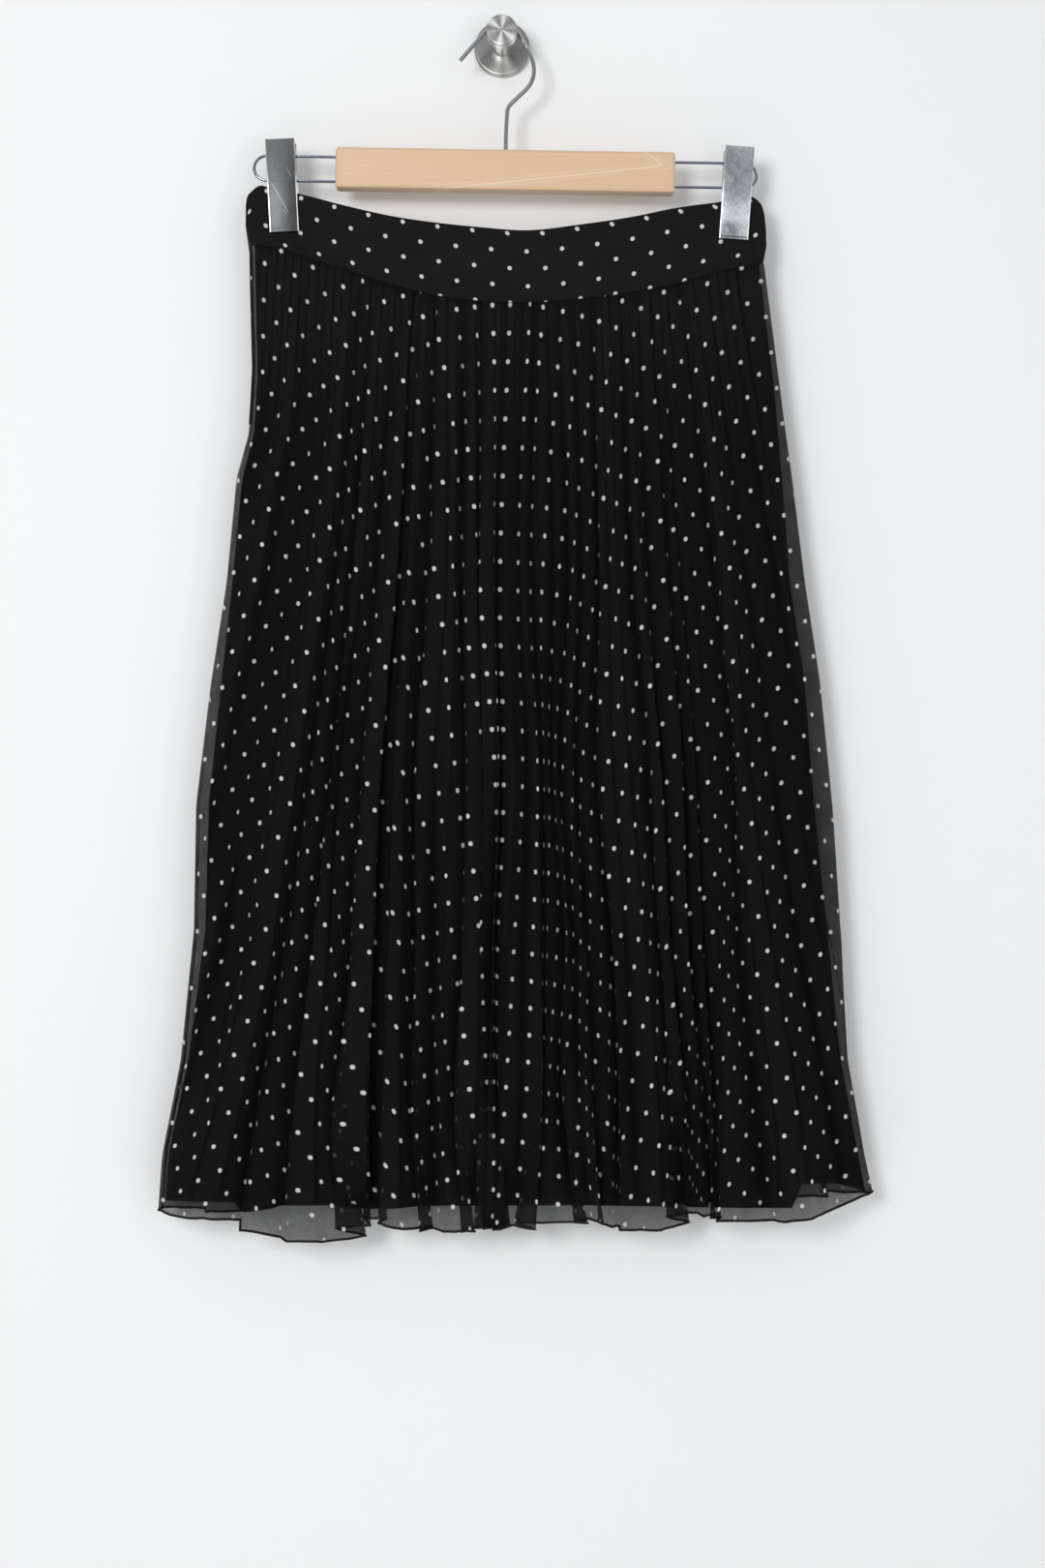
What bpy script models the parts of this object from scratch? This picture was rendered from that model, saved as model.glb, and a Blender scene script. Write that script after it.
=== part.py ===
"""A black dotted skirt with sunray pleats, clipped to a hanger that hangs on a round wall knob.

Metres, +Z up, the skirt's front faces -Y. The origin is the centre of the wall rosette's back
face, so the wall is the plane Y = 0. The waistband is a shaped yoke of two walls. Below it hang
two pleated panels, each a quarter ring of sheer cloth, and two plain lining panels inside them.
Every cloth wall is drawn as a distance out from the hanging plane, forwards or backwards.
"""

import math

import bmesh
import bpy
import numpy as np

# The hanging plane: the hook wire, the bar, the rails and the side seams lie in it.
HANG_Y = -0.031

# The gap that is left between two pieces that touch.
GAP = 0.0003

# Wall knob.
ROSETTE_RADIUS = 0.020
ROSETTE_DEPTH = 0.005
POST_RADIUS = 0.00575
KNOB_RADIUS = 0.011
KNOB_BACK = 0.0335
KNOB_FRONT = 0.0415
ROSETTE_ROUNDING = 0.0006
KNOB_ROUNDING = 0.0008
ROUND_SIDES = 40
ROUND_SMOOTH_BELOW = 35

# Hanger: a wooden bar, a wire hook in its top and a looped rail in each end.
BAR_CENTRE = (0.0025, -0.0973)
BAR_LENGTH = 0.2406
BAR_HEIGHT = 0.0289
BAR_DEPTH = 0.0136
BAR_ROUNDING = 0.0022
BAR_TILT = math.radians(0.9)
HOOK_WIRE_RADIUS = 0.0015
HOOK_STEM_DEPTH = 0.015
HOOK_BENDS = (
    # x, z, from the free tip over the post and down to just above the bar
    (-0.0308, -0.0158),
    (-0.0250, -0.0062),
    (-0.0143, 0.0040),
    (0.0000, POST_RADIUS + HOOK_WIRE_RADIUS + GAP),
    (0.0125, 0.0040),
    (0.0196, -0.0075),
    (0.0222, -0.0215),
    (0.0180, -0.0345),
    (0.0100, -0.0440),
    (0.0042, -0.0520),
)
HOOK_STEPS = 5
RAIL_WIRE_RADIUS = 0.00105
RAIL_HALF_GAP = 0.0087
RAIL_REACH = 0.1784
RAIL_SOCKET_DEPTH = 0.012
RAIL_END_STEPS = 10
WIRE_BEVEL = 3
DRILL_SIDES = 16

# Clips: folded sheet jaws. Heights are measured up from the lower lip along the jaw.
CLIP_WIDTH = 0.0206
CLIP_HEIGHT = 0.065
CLIP_SHEET = 0.0009
CLIP_FACE_BOTTOM = 0.0048
CLIP_FACE_TOP = 0.0078
CLIP_RAIL_ZONE = 0.0358
CLIP_STEP = 0.0015
CLIP_TOP_FLANGE = 0.0027
CLIP_TOP_TAPER = 0.008
CLIP_HOLLOW_OVER = 0.002
CLIPS = (
    # side, centre of the lower lip (x, z), lean of the top to the right
    ("left", -0.1539, -0.1410, -math.radians(2.7)),
    ("right", 0.1642, -0.1461, math.radians(3.9)),
)

# Cloth walls. Each distance is out from the hanging plane.
YOKE_WALL = 0.0020
YOKE_INSIDE = 0.0044
CHIFFON_WALL = 0.0010
CHIFFON_INSIDE_TOP = 0.00405
CHIFFON_INSIDE_HEM = 0.0062
LINING_WALL = 0.0010
LINING_INSIDE_TOP = 0.00275
LINING_INSIDE_HEM = 0.0040
CHIFFON_EDGE_WALL = 0.0015
DEEPEST_PLEAT = 0.0219
FLATTEST_PLEAT = 0.12
CLOTH_SMOOTH_BELOW = 15

# How far in from a side edge a wall takes to reach its full distance from the hanging plane.
YOKE_EDGE_RUN = 0.025
CHIFFON_EDGE_RUN = 0.025
LINING_EDGE_RUN = 0.040
CLIP_PINCH_RUN = 0.050
CLIP_CLEARANCE = 0.0035

# Concealed zip in the left side seam.
ZIP_TOP = -0.1145
ZIP_END = -0.2766
ZIP_SEAM_OPEN = -0.302
ZIP_SEAM_CLOSED = -0.380
ZIP_HALF_DEPTH = 0.0008
ZIP_OUTSIDE = 0.0008
ZIP_INSIDE = 0.0016
ZIP_STEPS = 9

# Yoke edges. Across runs from 0 at the left side seam to 1 at the right one.
YOKE_ACROSS, YOKE_TOP, YOKE_SEAM = np.array(
    (
        # across, top edge z, seam z
        (0.000, -0.1134, -0.1483),
        (0.040, -0.1088, -0.1515),
        (0.098, -0.1130, -0.1572),
        (0.178, -0.1213, -0.1671),
        (0.275, -0.1296, -0.1787),
        (0.372, -0.1348, -0.1871),
        (0.456, -0.1379, -0.1904),
        (0.547, -0.1401, -0.1912),
        (0.650, -0.1361, -0.1886),
        (0.761, -0.1301, -0.1829),
        (0.844, -0.1238, -0.1766),
        (0.924, -0.1190, -0.1680),
        (0.969, -0.1165, -0.1648),
        (1.000, -0.1154, -0.1620),
    )
).T
YOKE_COLUMNS = 36
YOKE_ROWS = (0.0, 0.40, 0.79, 0.90, 1.0)
YOKE_PINCHED_TO = 0.79
YOKE_SIDE_DOWN, YOKE_LEFT, YOKE_RIGHT = np.array(
    (
        # share of the way down, left edge x, right edge x
        (0.00, -0.1792, 0.1812),
        (0.35, -0.1812, 0.1850),
        (0.72, -0.1812, 0.1873),
        (1.00, -0.1785, 0.1860),
    )
).T

# Side edges of the chiffon and of the lining under it, from the yoke seam to the hem.
SIDE_Z, CHIFFON_LEFT, CHIFFON_RIGHT, LINING_LEFT, LINING_RIGHT = np.array(
    (
        # z, chiffon left x, chiffon right x, lining left x, lining right x
        (-0.8336, -0.2430, 0.2658, -0.2354, 0.2525),
        (-0.7950, -0.2402, 0.2574, -0.2303, 0.2483),
        (-0.7271, -0.2270, 0.2453, -0.2210, 0.2391),
        (-0.6350, -0.2178, 0.2404, -0.2114, 0.2325),
        (-0.5456, -0.2163, 0.2346, -0.2052, 0.2215),
        (-0.4584, -0.2058, 0.2258, -0.1990, 0.2105),
        (-0.3876, -0.1949, 0.2150, -0.1912, 0.2044),
        (-0.3147, -0.1880, 0.2061, -0.1842, 0.1990),
        (-0.2830, -0.1793, 0.2016, -0.1758, 0.1962),
        (-0.2405, -0.1765, 0.1961, -0.1732, 0.1922),
        (-0.1620, -0.1785, 0.1860, -0.1750, 0.1825),
        (-0.1483, -0.1785, 0.1855, -0.1750, 0.1820),
    )
).T

# Hem heights across the front and the back.
FRONT_HEM_ACROSS, FRONT_HEM = np.array(
    (
        # across, hem z
        (0.00, -0.8350),
        (0.05, -0.8430),
        (0.12, -0.8485),
        (0.17, -0.8570),
        (0.24, -0.8580),
        (0.28, -0.8545),
        (0.31, -0.8425),
        (0.34, -0.8430),
        (0.37, -0.8495),
        (0.50, -0.8460),
        (0.55, -0.8400),
        (0.60, -0.8430),
        (0.63, -0.8405),
        (0.66, -0.8480),
        (0.73, -0.8475),
        (0.76, -0.8370),
        (0.79, -0.8420),
        (0.84, -0.8450),
        (0.89, -0.8430),
        (0.95, -0.8345),
        (1.00, -0.8260),
    )
).T
BACK_HEM_ACROSS, BACK_HEM = np.array(
    (
        # across, hem z
        (0.00, -0.834),
        (0.15, -0.840),
        (0.35, -0.845),
        (0.55, -0.842),
        (0.75, -0.845),
        (0.90, -0.838),
        (1.00, -0.826),
    )
).T
LINING_HEM_ACROSS, LINING_HEM = np.array(
    (
        # across, hem z
        (0.00, -0.822),
        (0.20, -0.829),
        (0.80, -0.827),
        (0.92, -0.816),
        (1.00, -0.812),
    )
).T

# The flat cut of a pleated panel: a quarter ring, pleated along lines from its centre. Its
# centre line lies on the bias of the cloth, which hangs narrower than it was cut.
SEAM_RADIUS = 0.262
HEM_RADIUS = 0.890
FACETS = 70
BIAS_NARROWING = 0.95

# Groups of pleats from left to right. Each takes some degrees of the cut. Those beside the seams
# lose cloth to the back on the way down. The folds spread or close up between seam and hem.
SPREAD_DROP = 0.33
FRONT_FOLDS = (
    # facets, degrees at the seam, degrees at the hem, width at seam, at spread drop, at hem
    (10, 18.7, 5.0, 0.0810, 0.0755, 0.0587),
    (4, 4.6, 4.6, 0.0163, 0.0177, 0.0500),
    (2, 2.4, 2.4, 0.0089, 0.0095, 0.0263),
    (2, 2.7, 2.7, 0.0095, 0.0088, 0.0095),
    (4, 4.1, 4.1, 0.0123, 0.0170, 0.0216),
    (4, 6.0, 6.0, 0.0245, 0.0286, 0.0297),
    (2, 3.0, 3.0, 0.0068, 0.0122, 0.0216),
    (7, 9.7, 9.7, 0.0238, 0.0313, 0.0142),
    (2, 2.8, 2.8, 0.0095, 0.0068, 0.0358),
    (4, 5.0, 5.0, 0.0184, 0.0252, 0.0513),
    (8, 10.1, 10.1, 0.0361, 0.0388, 0.0155),
    (4, 4.0, 4.0, 0.0129, 0.0163, 0.0392),
    (8, 9.5, 9.5, 0.0340, 0.0435, 0.0182),
    (9, 16.1, 8.7, 0.0687, 0.0768, 0.1060),
)
BACK_FOLDS = (
    # the same columns
    (7, 14.0, 6.0, 0.0530, 0.0520, 0.0640),
    (4, 5.5, 5.5, 0.0190, 0.0250, 0.0420),
    (6, 8.0, 8.0, 0.0275, 0.0275, 0.0150),
    (3, 4.2, 4.2, 0.0160, 0.0220, 0.0440),
    (6, 7.7, 7.7, 0.0265, 0.0265, 0.0160),
    (4, 5.3, 5.3, 0.0190, 0.0305, 0.0500),
    (8, 10.1, 10.1, 0.0352, 0.0340, 0.0210),
    (4, 5.1, 5.1, 0.0180, 0.0275, 0.0480),
    (6, 7.4, 7.4, 0.0266, 0.0285, 0.0170),
    (3, 4.2, 4.2, 0.0152, 0.0210, 0.0410),
    (6, 7.8, 7.8, 0.0275, 0.0285, 0.0180),
    (4, 5.4, 5.4, 0.0190, 0.0275, 0.0430),
    (9, 14.0, 8.5, 0.0610, 0.0575, 0.0900),
)
DROPS = (0.0, 0.10, 0.22, 0.31, 0.45, 0.60, 0.80, 1.0)
LINING_COLUMNS = 20

FORWARD = -1
BACKWARD = 1


def clear_scene():
    for old in list(bpy.data.objects):
        bpy.data.objects.remove(old, do_unlink=True)


def material(name, colour, roughness, metallic=0.0):
    made = bpy.data.materials.new(name)
    made.use_nodes = True
    shader = made.node_tree.nodes["Principled BSDF"]
    shader.inputs["Base Color"].default_value = (*colour, 1.0)
    shader.inputs["Roughness"].default_value = roughness
    shader.inputs["Metallic"].default_value = metallic
    made.diffuse_color = (*colour, 1.0)
    return made


def finish(name, mesh, look, smooth_below=None):
    mesh.materials.append(look)
    if smooth_below is not None:
        mesh.shade_smooth()
        mesh.set_sharp_from_angle(angle=math.radians(smooth_below))
    made = bpy.data.objects.new(name, mesh)
    bpy.context.scene.collection.objects.link(made)
    return made


def eased(share):
    """Rises fast from 0 and levels out at 1, as cloth does in from its side seam."""
    held = min(max(share, 0.0), 1.0)
    return 1.0 - (1.0 - held) ** 2


# Cloth walls


def add_wall(name, outer, inner, look):
    """A closed wall between two grids of points, each a list of rows from top to bottom."""
    rows = len(outer)
    columns = len(outer[0])
    shell = bmesh.new()
    face = [[shell.verts.new(point) for point in row] for row in outer]
    back = [[shell.verts.new(point) for point in row] for row in inner]

    def patch(a, b, c, d):
        shell.faces.new((a, b, c))
        shell.faces.new((a, c, d))

    for r in range(rows - 1):
        for c in range(columns - 1):
            patch(face[r][c], face[r + 1][c], face[r + 1][c + 1], face[r][c + 1])
            patch(back[r][c], back[r][c + 1], back[r + 1][c + 1], back[r + 1][c])
        patch(face[r][0], back[r][0], back[r + 1][0], face[r + 1][0])
        patch(face[r][-1], face[r + 1][-1], back[r + 1][-1], back[r][-1])
    for c in range(columns - 1):
        patch(face[0][c], face[0][c + 1], back[0][c + 1], back[0][c])
        patch(face[-1][c], back[-1][c], back[-1][c + 1], face[-1][c + 1])
    bmesh.ops.recalc_face_normals(shell, faces=shell.faces)
    mesh = bpy.data.meshes.new(name)
    shell.to_mesh(mesh)
    shell.free()
    return finish(name, mesh, look, smooth_below=CLOTH_SMOOTH_BELOW)


def side_gap(z, across):
    """Half the gap between front and back at a side edge. The zip lies in the left one."""
    plain = GAP / 2
    if across > 0.5:
        return plain
    zipped = ZIP_HALF_DEPTH + GAP
    return float(np.interp(z, (ZIP_SEAM_CLOSED, ZIP_SEAM_OPEN), (plain, zipped)))


def yoke_top(across):
    return float(np.interp(across, YOKE_ACROSS, YOKE_TOP))


def yoke_seam(across):
    return float(np.interp(across, YOKE_ACROSS, YOKE_SEAM))


def top_of_panel(x):
    """Height of a panel's top edge, a seam's gap below the yoke, straight above a place x."""
    across = (x - YOKE_LEFT[-1]) / (YOKE_RIGHT[-1] - YOKE_LEFT[-1])
    return yoke_seam(across) - GAP


def yoke_inside(x, across, down, z, left, right):
    """The yoke is pinched shut where the clips grip it, and opens between and below them."""
    gap = side_gap(z, across)
    reach = CLIP_WIDTH / 2 + CLIP_CLEARANCE
    (_, left_clip, _, _), (_, right_clip, _, _) = CLIPS
    between = min(x - (left_clip + reach), (right_clip - reach) - x)
    beyond_left = (left_clip - reach - x) / (left_clip - reach - left)
    beyond_right = (x - right_clip - reach) / (right - right_clip - reach)
    beyond = max(beyond_left, beyond_right, 0.0)
    pinched = GAP / 2 + (gap - GAP / 2) * beyond
    pinched += (YOKE_INSIDE - GAP / 2) * eased(between / CLIP_PINCH_RUN)
    from_sides = min(x - left, right - x)
    hanging = gap + (YOKE_INSIDE - gap) * eased(from_sides / YOKE_EDGE_RUN)
    freed = max(0.0, (down - YOKE_PINCHED_TO) / (1.0 - YOKE_PINCHED_TO))
    return pinched + (hanging - pinched) * freed


def add_yoke(name, way, look):
    outer = []
    inner = []
    for down in YOKE_ROWS:
        left = float(np.interp(down, YOKE_SIDE_DOWN, YOKE_LEFT))
        right = float(np.interp(down, YOKE_SIDE_DOWN, YOKE_RIGHT))
        outer.append([])
        inner.append([])
        for column in range(YOKE_COLUMNS + 1):
            across = column / YOKE_COLUMNS
            x = left + (right - left) * across
            z = yoke_top(across) + (yoke_seam(across) - yoke_top(across)) * down
            inside = yoke_inside(x, across, down, z, left, right)
            outer[-1].append((x, HANG_Y + way * (inside + YOKE_WALL), z))
            inner[-1].append((x, HANG_Y + way * inside, z))
    add_wall(name, outer, inner, look)


def fold_places(folds):
    """Where each fold line lies across the panel, at the seam, at the spread drop and at the hem."""
    places = []
    for column in (3, 4, 5):
        widths = []
        for row in folds:
            widths += [row[column] / row[0]] * row[0]
        places.append(np.concatenate(([0.0], np.cumsum(widths))) / sum(widths))
    return np.array(places)


def facet_widths(folds, drop):
    """How wide each facet of the cut is at this drop, from its degrees and its radius."""
    radius = SEAM_RADIUS + (HEM_RADIUS - SEAM_RADIUS) * drop
    widths = []
    for count, seam_degrees, hem_degrees, *_ in folds:
        degrees = seam_degrees + (hem_degrees - seam_degrees) * drop
        widths += [radius * math.radians(degrees / count) * BIAS_NARROWING] * count
    return widths


def facet_depth(width, advance):
    """How far one facet goes in or out, and how thick its wall is straight through the panel."""
    slope = math.sqrt(max(width**2 - advance**2, (FLATTEST_PLEAT * width) ** 2))
    through = CHIFFON_WALL * math.hypot(1.0, slope / advance)
    if slope + through > DEEPEST_PLEAT:
        # The depth and the slanted wall together just fill the deepest pleat.
        squeeze = 1.0 - (CHIFFON_WALL / advance) ** 2
        room = DEEPEST_PLEAT**2 - squeeze * (DEEPEST_PLEAT**2 - CHIFFON_WALL**2)
        slope = (DEEPEST_PLEAT - math.sqrt(room)) / squeeze
        through = DEEPEST_PLEAT - slope
    return slope, through


def pleat_row(drop, folds, places, hem):
    """One row of fold points: x, z and the distances of the wall's two faces."""
    across_here = [float(np.interp(drop, (0, SPREAD_DROP, 1), column)) for column in places.T]
    top_z = [yoke_seam(across) - GAP for across in places[0]]
    z = [top + (hem(across) - top) * drop for top, across in zip(top_z, across_here)]
    left = float(np.interp(z[0], SIDE_Z, CHIFFON_LEFT))
    right = float(np.interp(z[-1], SIDE_Z, CHIFFON_RIGHT))
    x = [left + (right - left) * across for across in across_here]
    widths = facet_widths(folds, drop)
    facets = [facet_depth(widths[i], x[i + 1] - x[i]) for i in range(FACETS)]
    full = CHIFFON_INSIDE_TOP + (CHIFFON_INSIDE_HEM - CHIFFON_INSIDE_TOP) * drop
    row = []
    for i in range(FACETS + 1):
        beside = facets[max(i - 1, 0) : i + 1]
        through = max(wall for _, wall in beside)
        gap = side_gap(z[i], i / FACETS)
        from_sides = min(x[i] - left, right - x[i])
        valley = gap + (full - gap) * eased(from_sides / CHIFFON_EDGE_RUN)
        if i in (0, FACETS):
            row.append((x[i], z[i], gap + min(through, CHIFFON_EDGE_WALL), gap))
        elif i % 2:
            peak = valley + sum(slope + wall for slope, wall in beside) / len(beside)
            row.append((x[i], z[i], peak, peak - through))
        else:
            row.append((x[i], z[i], valley + through, valley))
    return row


def add_pleated_panel(name, way, folds, hem_across, hem_z, look):
    places = fold_places(folds)
    outer = []
    inner = []
    for drop in DROPS:
        hem = lambda across: float(np.interp(across, hem_across, hem_z))
        row = pleat_row(drop, folds, places, hem)
        outer.append([(x, HANG_Y + way * far, z) for x, z, far, near in row])
        inner.append([(x, HANG_Y + way * near, z) for x, z, far, near in row])
    add_wall(name, outer, inner, look)


def add_lining(name, way, look):
    outer = []
    inner = []
    edges_at_top = []
    for drop in DROPS:
        outer.append([])
        inner.append([])
        full = LINING_INSIDE_TOP + (LINING_INSIDE_HEM - LINING_INSIDE_TOP) * drop
        edges = []
        for across, side in ((0.0, LINING_LEFT), (1.0, LINING_RIGHT)):
            top = yoke_seam(across) - GAP
            hem = float(np.interp(across, LINING_HEM_ACROSS, LINING_HEM))
            edges.append(float(np.interp(top + (hem - top) * drop, SIDE_Z, side)))
        edges_at_top = edges_at_top or edges
        for column in range(LINING_COLUMNS + 1):
            across = column / LINING_COLUMNS
            x = edges[0] + (edges[1] - edges[0]) * across
            top = top_of_panel(edges_at_top[0] + (edges_at_top[1] - edges_at_top[0]) * across)
            hem = float(np.interp(across, LINING_HEM_ACROSS, LINING_HEM))
            z = top + (hem - top) * drop
            gap = side_gap(z, across)
            from_sides = min(x - edges[0], edges[1] - x)
            inside = gap + (full - gap) * eased(from_sides / LINING_EDGE_RUN)
            outer[-1].append((x, HANG_Y + way * (inside + LINING_WALL), z))
            inner[-1].append((x, HANG_Y + way * inside, z))
    add_wall(name, outer, inner, look)


def add_zip(look):
    """A narrow strip that lies between the front and back edges of the left side seam."""
    outer = []
    inner = []
    for step in range(ZIP_STEPS):
        z = ZIP_TOP + (ZIP_END - ZIP_TOP) * step / (ZIP_STEPS - 1)
        seam = yoke_seam(0.0)
        if z > seam:
            down = (yoke_top(0.0) - z) / (yoke_top(0.0) - seam)
            edge = float(np.interp(down, YOKE_SIDE_DOWN, YOKE_LEFT))
        else:
            edge = float(np.interp(z, SIDE_Z, CHIFFON_LEFT))
        front = HANG_Y - ZIP_HALF_DEPTH
        back = HANG_Y + ZIP_HALF_DEPTH
        outer.append([(edge - ZIP_OUTSIDE, front, z), (edge + ZIP_INSIDE, front, z)])
        inner.append([(edge - ZIP_OUTSIDE, back, z), (edge + ZIP_INSIDE, back, z)])
    add_wall("side_zip", outer, inner, look)


# Hanger


def in_bar_frame(along, up):
    """A point of the tilted hanger in the world, from its place along and above the bar."""
    x = BAR_CENTRE[0] + along * math.cos(BAR_TILT) + up * math.sin(BAR_TILT)
    z = BAR_CENTRE[1] - along * math.sin(BAR_TILT) + up * math.cos(BAR_TILT)
    return (x, HANG_Y, z)


def add_wire(name, points, radius, look):
    curve = bpy.data.curves.new(name, "CURVE")
    curve.dimensions = "3D"
    curve.bevel_depth = radius
    curve.bevel_resolution = WIRE_BEVEL
    curve.use_fill_caps = True
    spline = curve.splines.new("POLY")
    spline.points.add(len(points) - 1)
    for point, place in zip(spline.points, points):
        point.co = (*place, 1.0)
    curve.materials.append(look)
    made = bpy.data.objects.new(name, curve)
    bpy.context.scene.collection.objects.link(made)
    return made


def smooth_route(corners):
    """A Catmull-Rom curve through hand-placed points."""
    padded = [corners[0], *corners, corners[-1]]
    route = []
    for i in range(1, len(padded) - 2):
        before, start, end, after = (np.array(padded[i + k]) for k in (-1, 0, 1, 2))
        for step in range(HOOK_STEPS):
            t = step / HOOK_STEPS
            bend = 2 * before - 5 * start + 4 * end - after
            twist = 3 * start - before - 3 * end + after
            route.append(tuple(start + (end - before) * t / 2 + bend * t**2 / 2 + twist * t**3 / 2))
    route.append(tuple(corners[-1]))
    return route


def add_hook(look):
    """The wire comes up out of the bar, swings right and passes over the post."""
    stem_top = in_bar_frame(0.0, BAR_HEIGHT / 2)
    stem_foot = in_bar_frame(0.0, BAR_HEIGHT / 2 - HOOK_STEM_DEPTH + GAP)
    bends = [(x, HANG_Y, z) for x, z in HOOK_BENDS]
    add_wire("hanger_hook", smooth_route([*bends, stem_top, stem_foot]), HOOK_WIRE_RADIUS, look)


def add_rail(name, side, look):
    """One wire out of the bar's end, round a half circle and back into the bar."""
    inside = BAR_LENGTH / 2 - RAIL_SOCKET_DEPTH + GAP
    turn = RAIL_REACH - RAIL_HALF_GAP
    route = [in_bar_frame(side * inside, RAIL_HALF_GAP)]
    for step in range(RAIL_END_STEPS + 1):
        angle = math.pi / 2 - math.pi * step / RAIL_END_STEPS
        along = side * (turn + RAIL_HALF_GAP * math.cos(angle))
        route.append(in_bar_frame(along, RAIL_HALF_GAP * math.sin(angle)))
    route.append(in_bar_frame(side * inside, -RAIL_HALF_GAP))
    add_wire(name, route, RAIL_WIRE_RADIUS, look)


def add_cutter(name, radius, length, location, rotation):
    drill = bmesh.new()
    bmesh.ops.create_cone(
        drill, cap_ends=True, segments=DRILL_SIDES, radius1=radius, radius2=radius, depth=length
    )
    mesh = bpy.data.meshes.new(name)
    drill.to_mesh(mesh)
    drill.free()
    made = bpy.data.objects.new(name, mesh)
    made.location = location
    made.rotation_euler = rotation
    made.hide_render = True
    made.display_type = "WIRE"
    bpy.context.scene.collection.objects.link(made)
    return made


def cut(target, cutter):
    hole = target.modifiers.new(cutter.name, "BOOLEAN")
    hole.operation = "DIFFERENCE"
    hole.object = cutter


def add_bar(look):
    block = bmesh.new()
    bmesh.ops.create_cube(block, size=1.0)
    bmesh.ops.scale(block, vec=(BAR_LENGTH, BAR_DEPTH, BAR_HEIGHT), verts=block.verts)
    mesh = bpy.data.meshes.new("hanger_bar")
    block.to_mesh(mesh)
    block.free()
    bar = finish("hanger_bar", mesh, look, smooth_below=ROUND_SMOOTH_BELOW)
    bar.location = in_bar_frame(0.0, 0.0)
    bar.rotation_euler = (0.0, BAR_TILT, 0.0)
    rounding = bar.modifiers.new("rounding", "BEVEL")
    rounding.width = BAR_ROUNDING
    rounding.segments = 2
    stem_hole = HOOK_WIRE_RADIUS + GAP
    place = in_bar_frame(0.0, BAR_HEIGHT / 2)
    cut(bar, add_cutter("stem_drill", stem_hole, 2 * HOOK_STEM_DEPTH, place, (0.0, BAR_TILT, 0.0)))
    socket = RAIL_WIRE_RADIUS + GAP
    across_bar = (0.0, math.pi / 2 + BAR_TILT, 0.0)
    for side in (-1, 1):
        for up in (-RAIL_HALF_GAP, RAIL_HALF_GAP):
            place = in_bar_frame(side * BAR_LENGTH / 2, up)
            drill_name = f"rail_drill_{side}_{up > 0}"
            cut(bar, add_cutter(drill_name, socket, 2 * RAIL_SOCKET_DEPTH, place, across_bar))


# Clips


def extrude_outline(name, outline, half_width):
    """A solid from an outline of (y, z) points, as wide along X as twice the half width."""
    block = bmesh.new()
    near = [block.verts.new((-half_width, y, z)) for y, z in outline]
    far = [block.verts.new((half_width, y, z)) for y, z in outline]
    block.faces.new(near)
    block.faces.new(list(reversed(far)))
    for i in range(len(outline)):
        j = (i + 1) % len(outline)
        block.faces.new((near[j], near[i], far[i], far[j]))
    bmesh.ops.recalc_face_normals(block, faces=block.faces)
    mesh = bpy.data.meshes.new(name)
    block.to_mesh(mesh)
    block.free()
    return mesh


def add_jaw(name, way, x, z, lean, look):
    """A folded sheet: a leaning face, a flange down each side and a lip along the bottom."""
    grip = GAP / 2 + YOKE_WALL + GAP
    beside_rail = RAIL_WIRE_RADIUS + GAP
    outline = (
        (way * grip, 0.0),
        (way * CLIP_FACE_BOTTOM, 0.0),
        (way * CLIP_FACE_TOP, CLIP_HEIGHT),
        (way * (CLIP_FACE_TOP - CLIP_TOP_FLANGE), CLIP_HEIGHT),
        (way * beside_rail, CLIP_HEIGHT - CLIP_TOP_TAPER),
        (way * beside_rail, CLIP_RAIL_ZONE),
        (way * grip, CLIP_RAIL_ZONE - CLIP_STEP),
    )
    jaw = finish(name, extrude_outline(name, outline, CLIP_WIDTH / 2), look)
    hollow_top = CLIP_HEIGHT + CLIP_HOLLOW_OVER
    face_slope = (CLIP_FACE_TOP - CLIP_FACE_BOTTOM) / CLIP_HEIGHT
    hollow = (
        (0.0, CLIP_SHEET),
        (way * (CLIP_FACE_BOTTOM + face_slope * CLIP_SHEET - CLIP_SHEET), CLIP_SHEET),
        (way * (CLIP_FACE_BOTTOM + face_slope * hollow_top - CLIP_SHEET), hollow_top),
        (0.0, hollow_top),
    )
    cutter_mesh = extrude_outline(name + "_hollow", hollow, CLIP_WIDTH / 2 - CLIP_SHEET)
    cutter = bpy.data.objects.new(name + "_hollow", cutter_mesh)
    cutter.hide_render = True
    cutter.display_type = "WIRE"
    bpy.context.scene.collection.objects.link(cutter)
    for piece in (jaw, cutter):
        piece.location = (x, HANG_Y, z)
        piece.rotation_euler = (0.0, lean, 0.0)
    cut(jaw, cutter)


# Wall knob


def add_disc(name, radius, back, front, rounding, look):
    """A turned disc on the knob's axis, between two distances from the wall."""
    disc = bmesh.new()
    bmesh.ops.create_cone(
        disc,
        cap_ends=True,
        segments=ROUND_SIDES,
        radius1=radius,
        radius2=radius,
        depth=front - back,
    )
    mesh = bpy.data.meshes.new(name)
    disc.to_mesh(mesh)
    disc.free()
    made = finish(name, mesh, look, smooth_below=ROUND_SMOOTH_BELOW)
    made.location = (0.0, -(front + back) / 2, 0.0)
    made.rotation_euler = (math.pi / 2, 0.0, 0.0)
    if rounding:
        edge = made.modifiers.new("edge", "BEVEL")
        edge.width = rounding
        edge.segments = 2
        edge.limit_method = "ANGLE"


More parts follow.
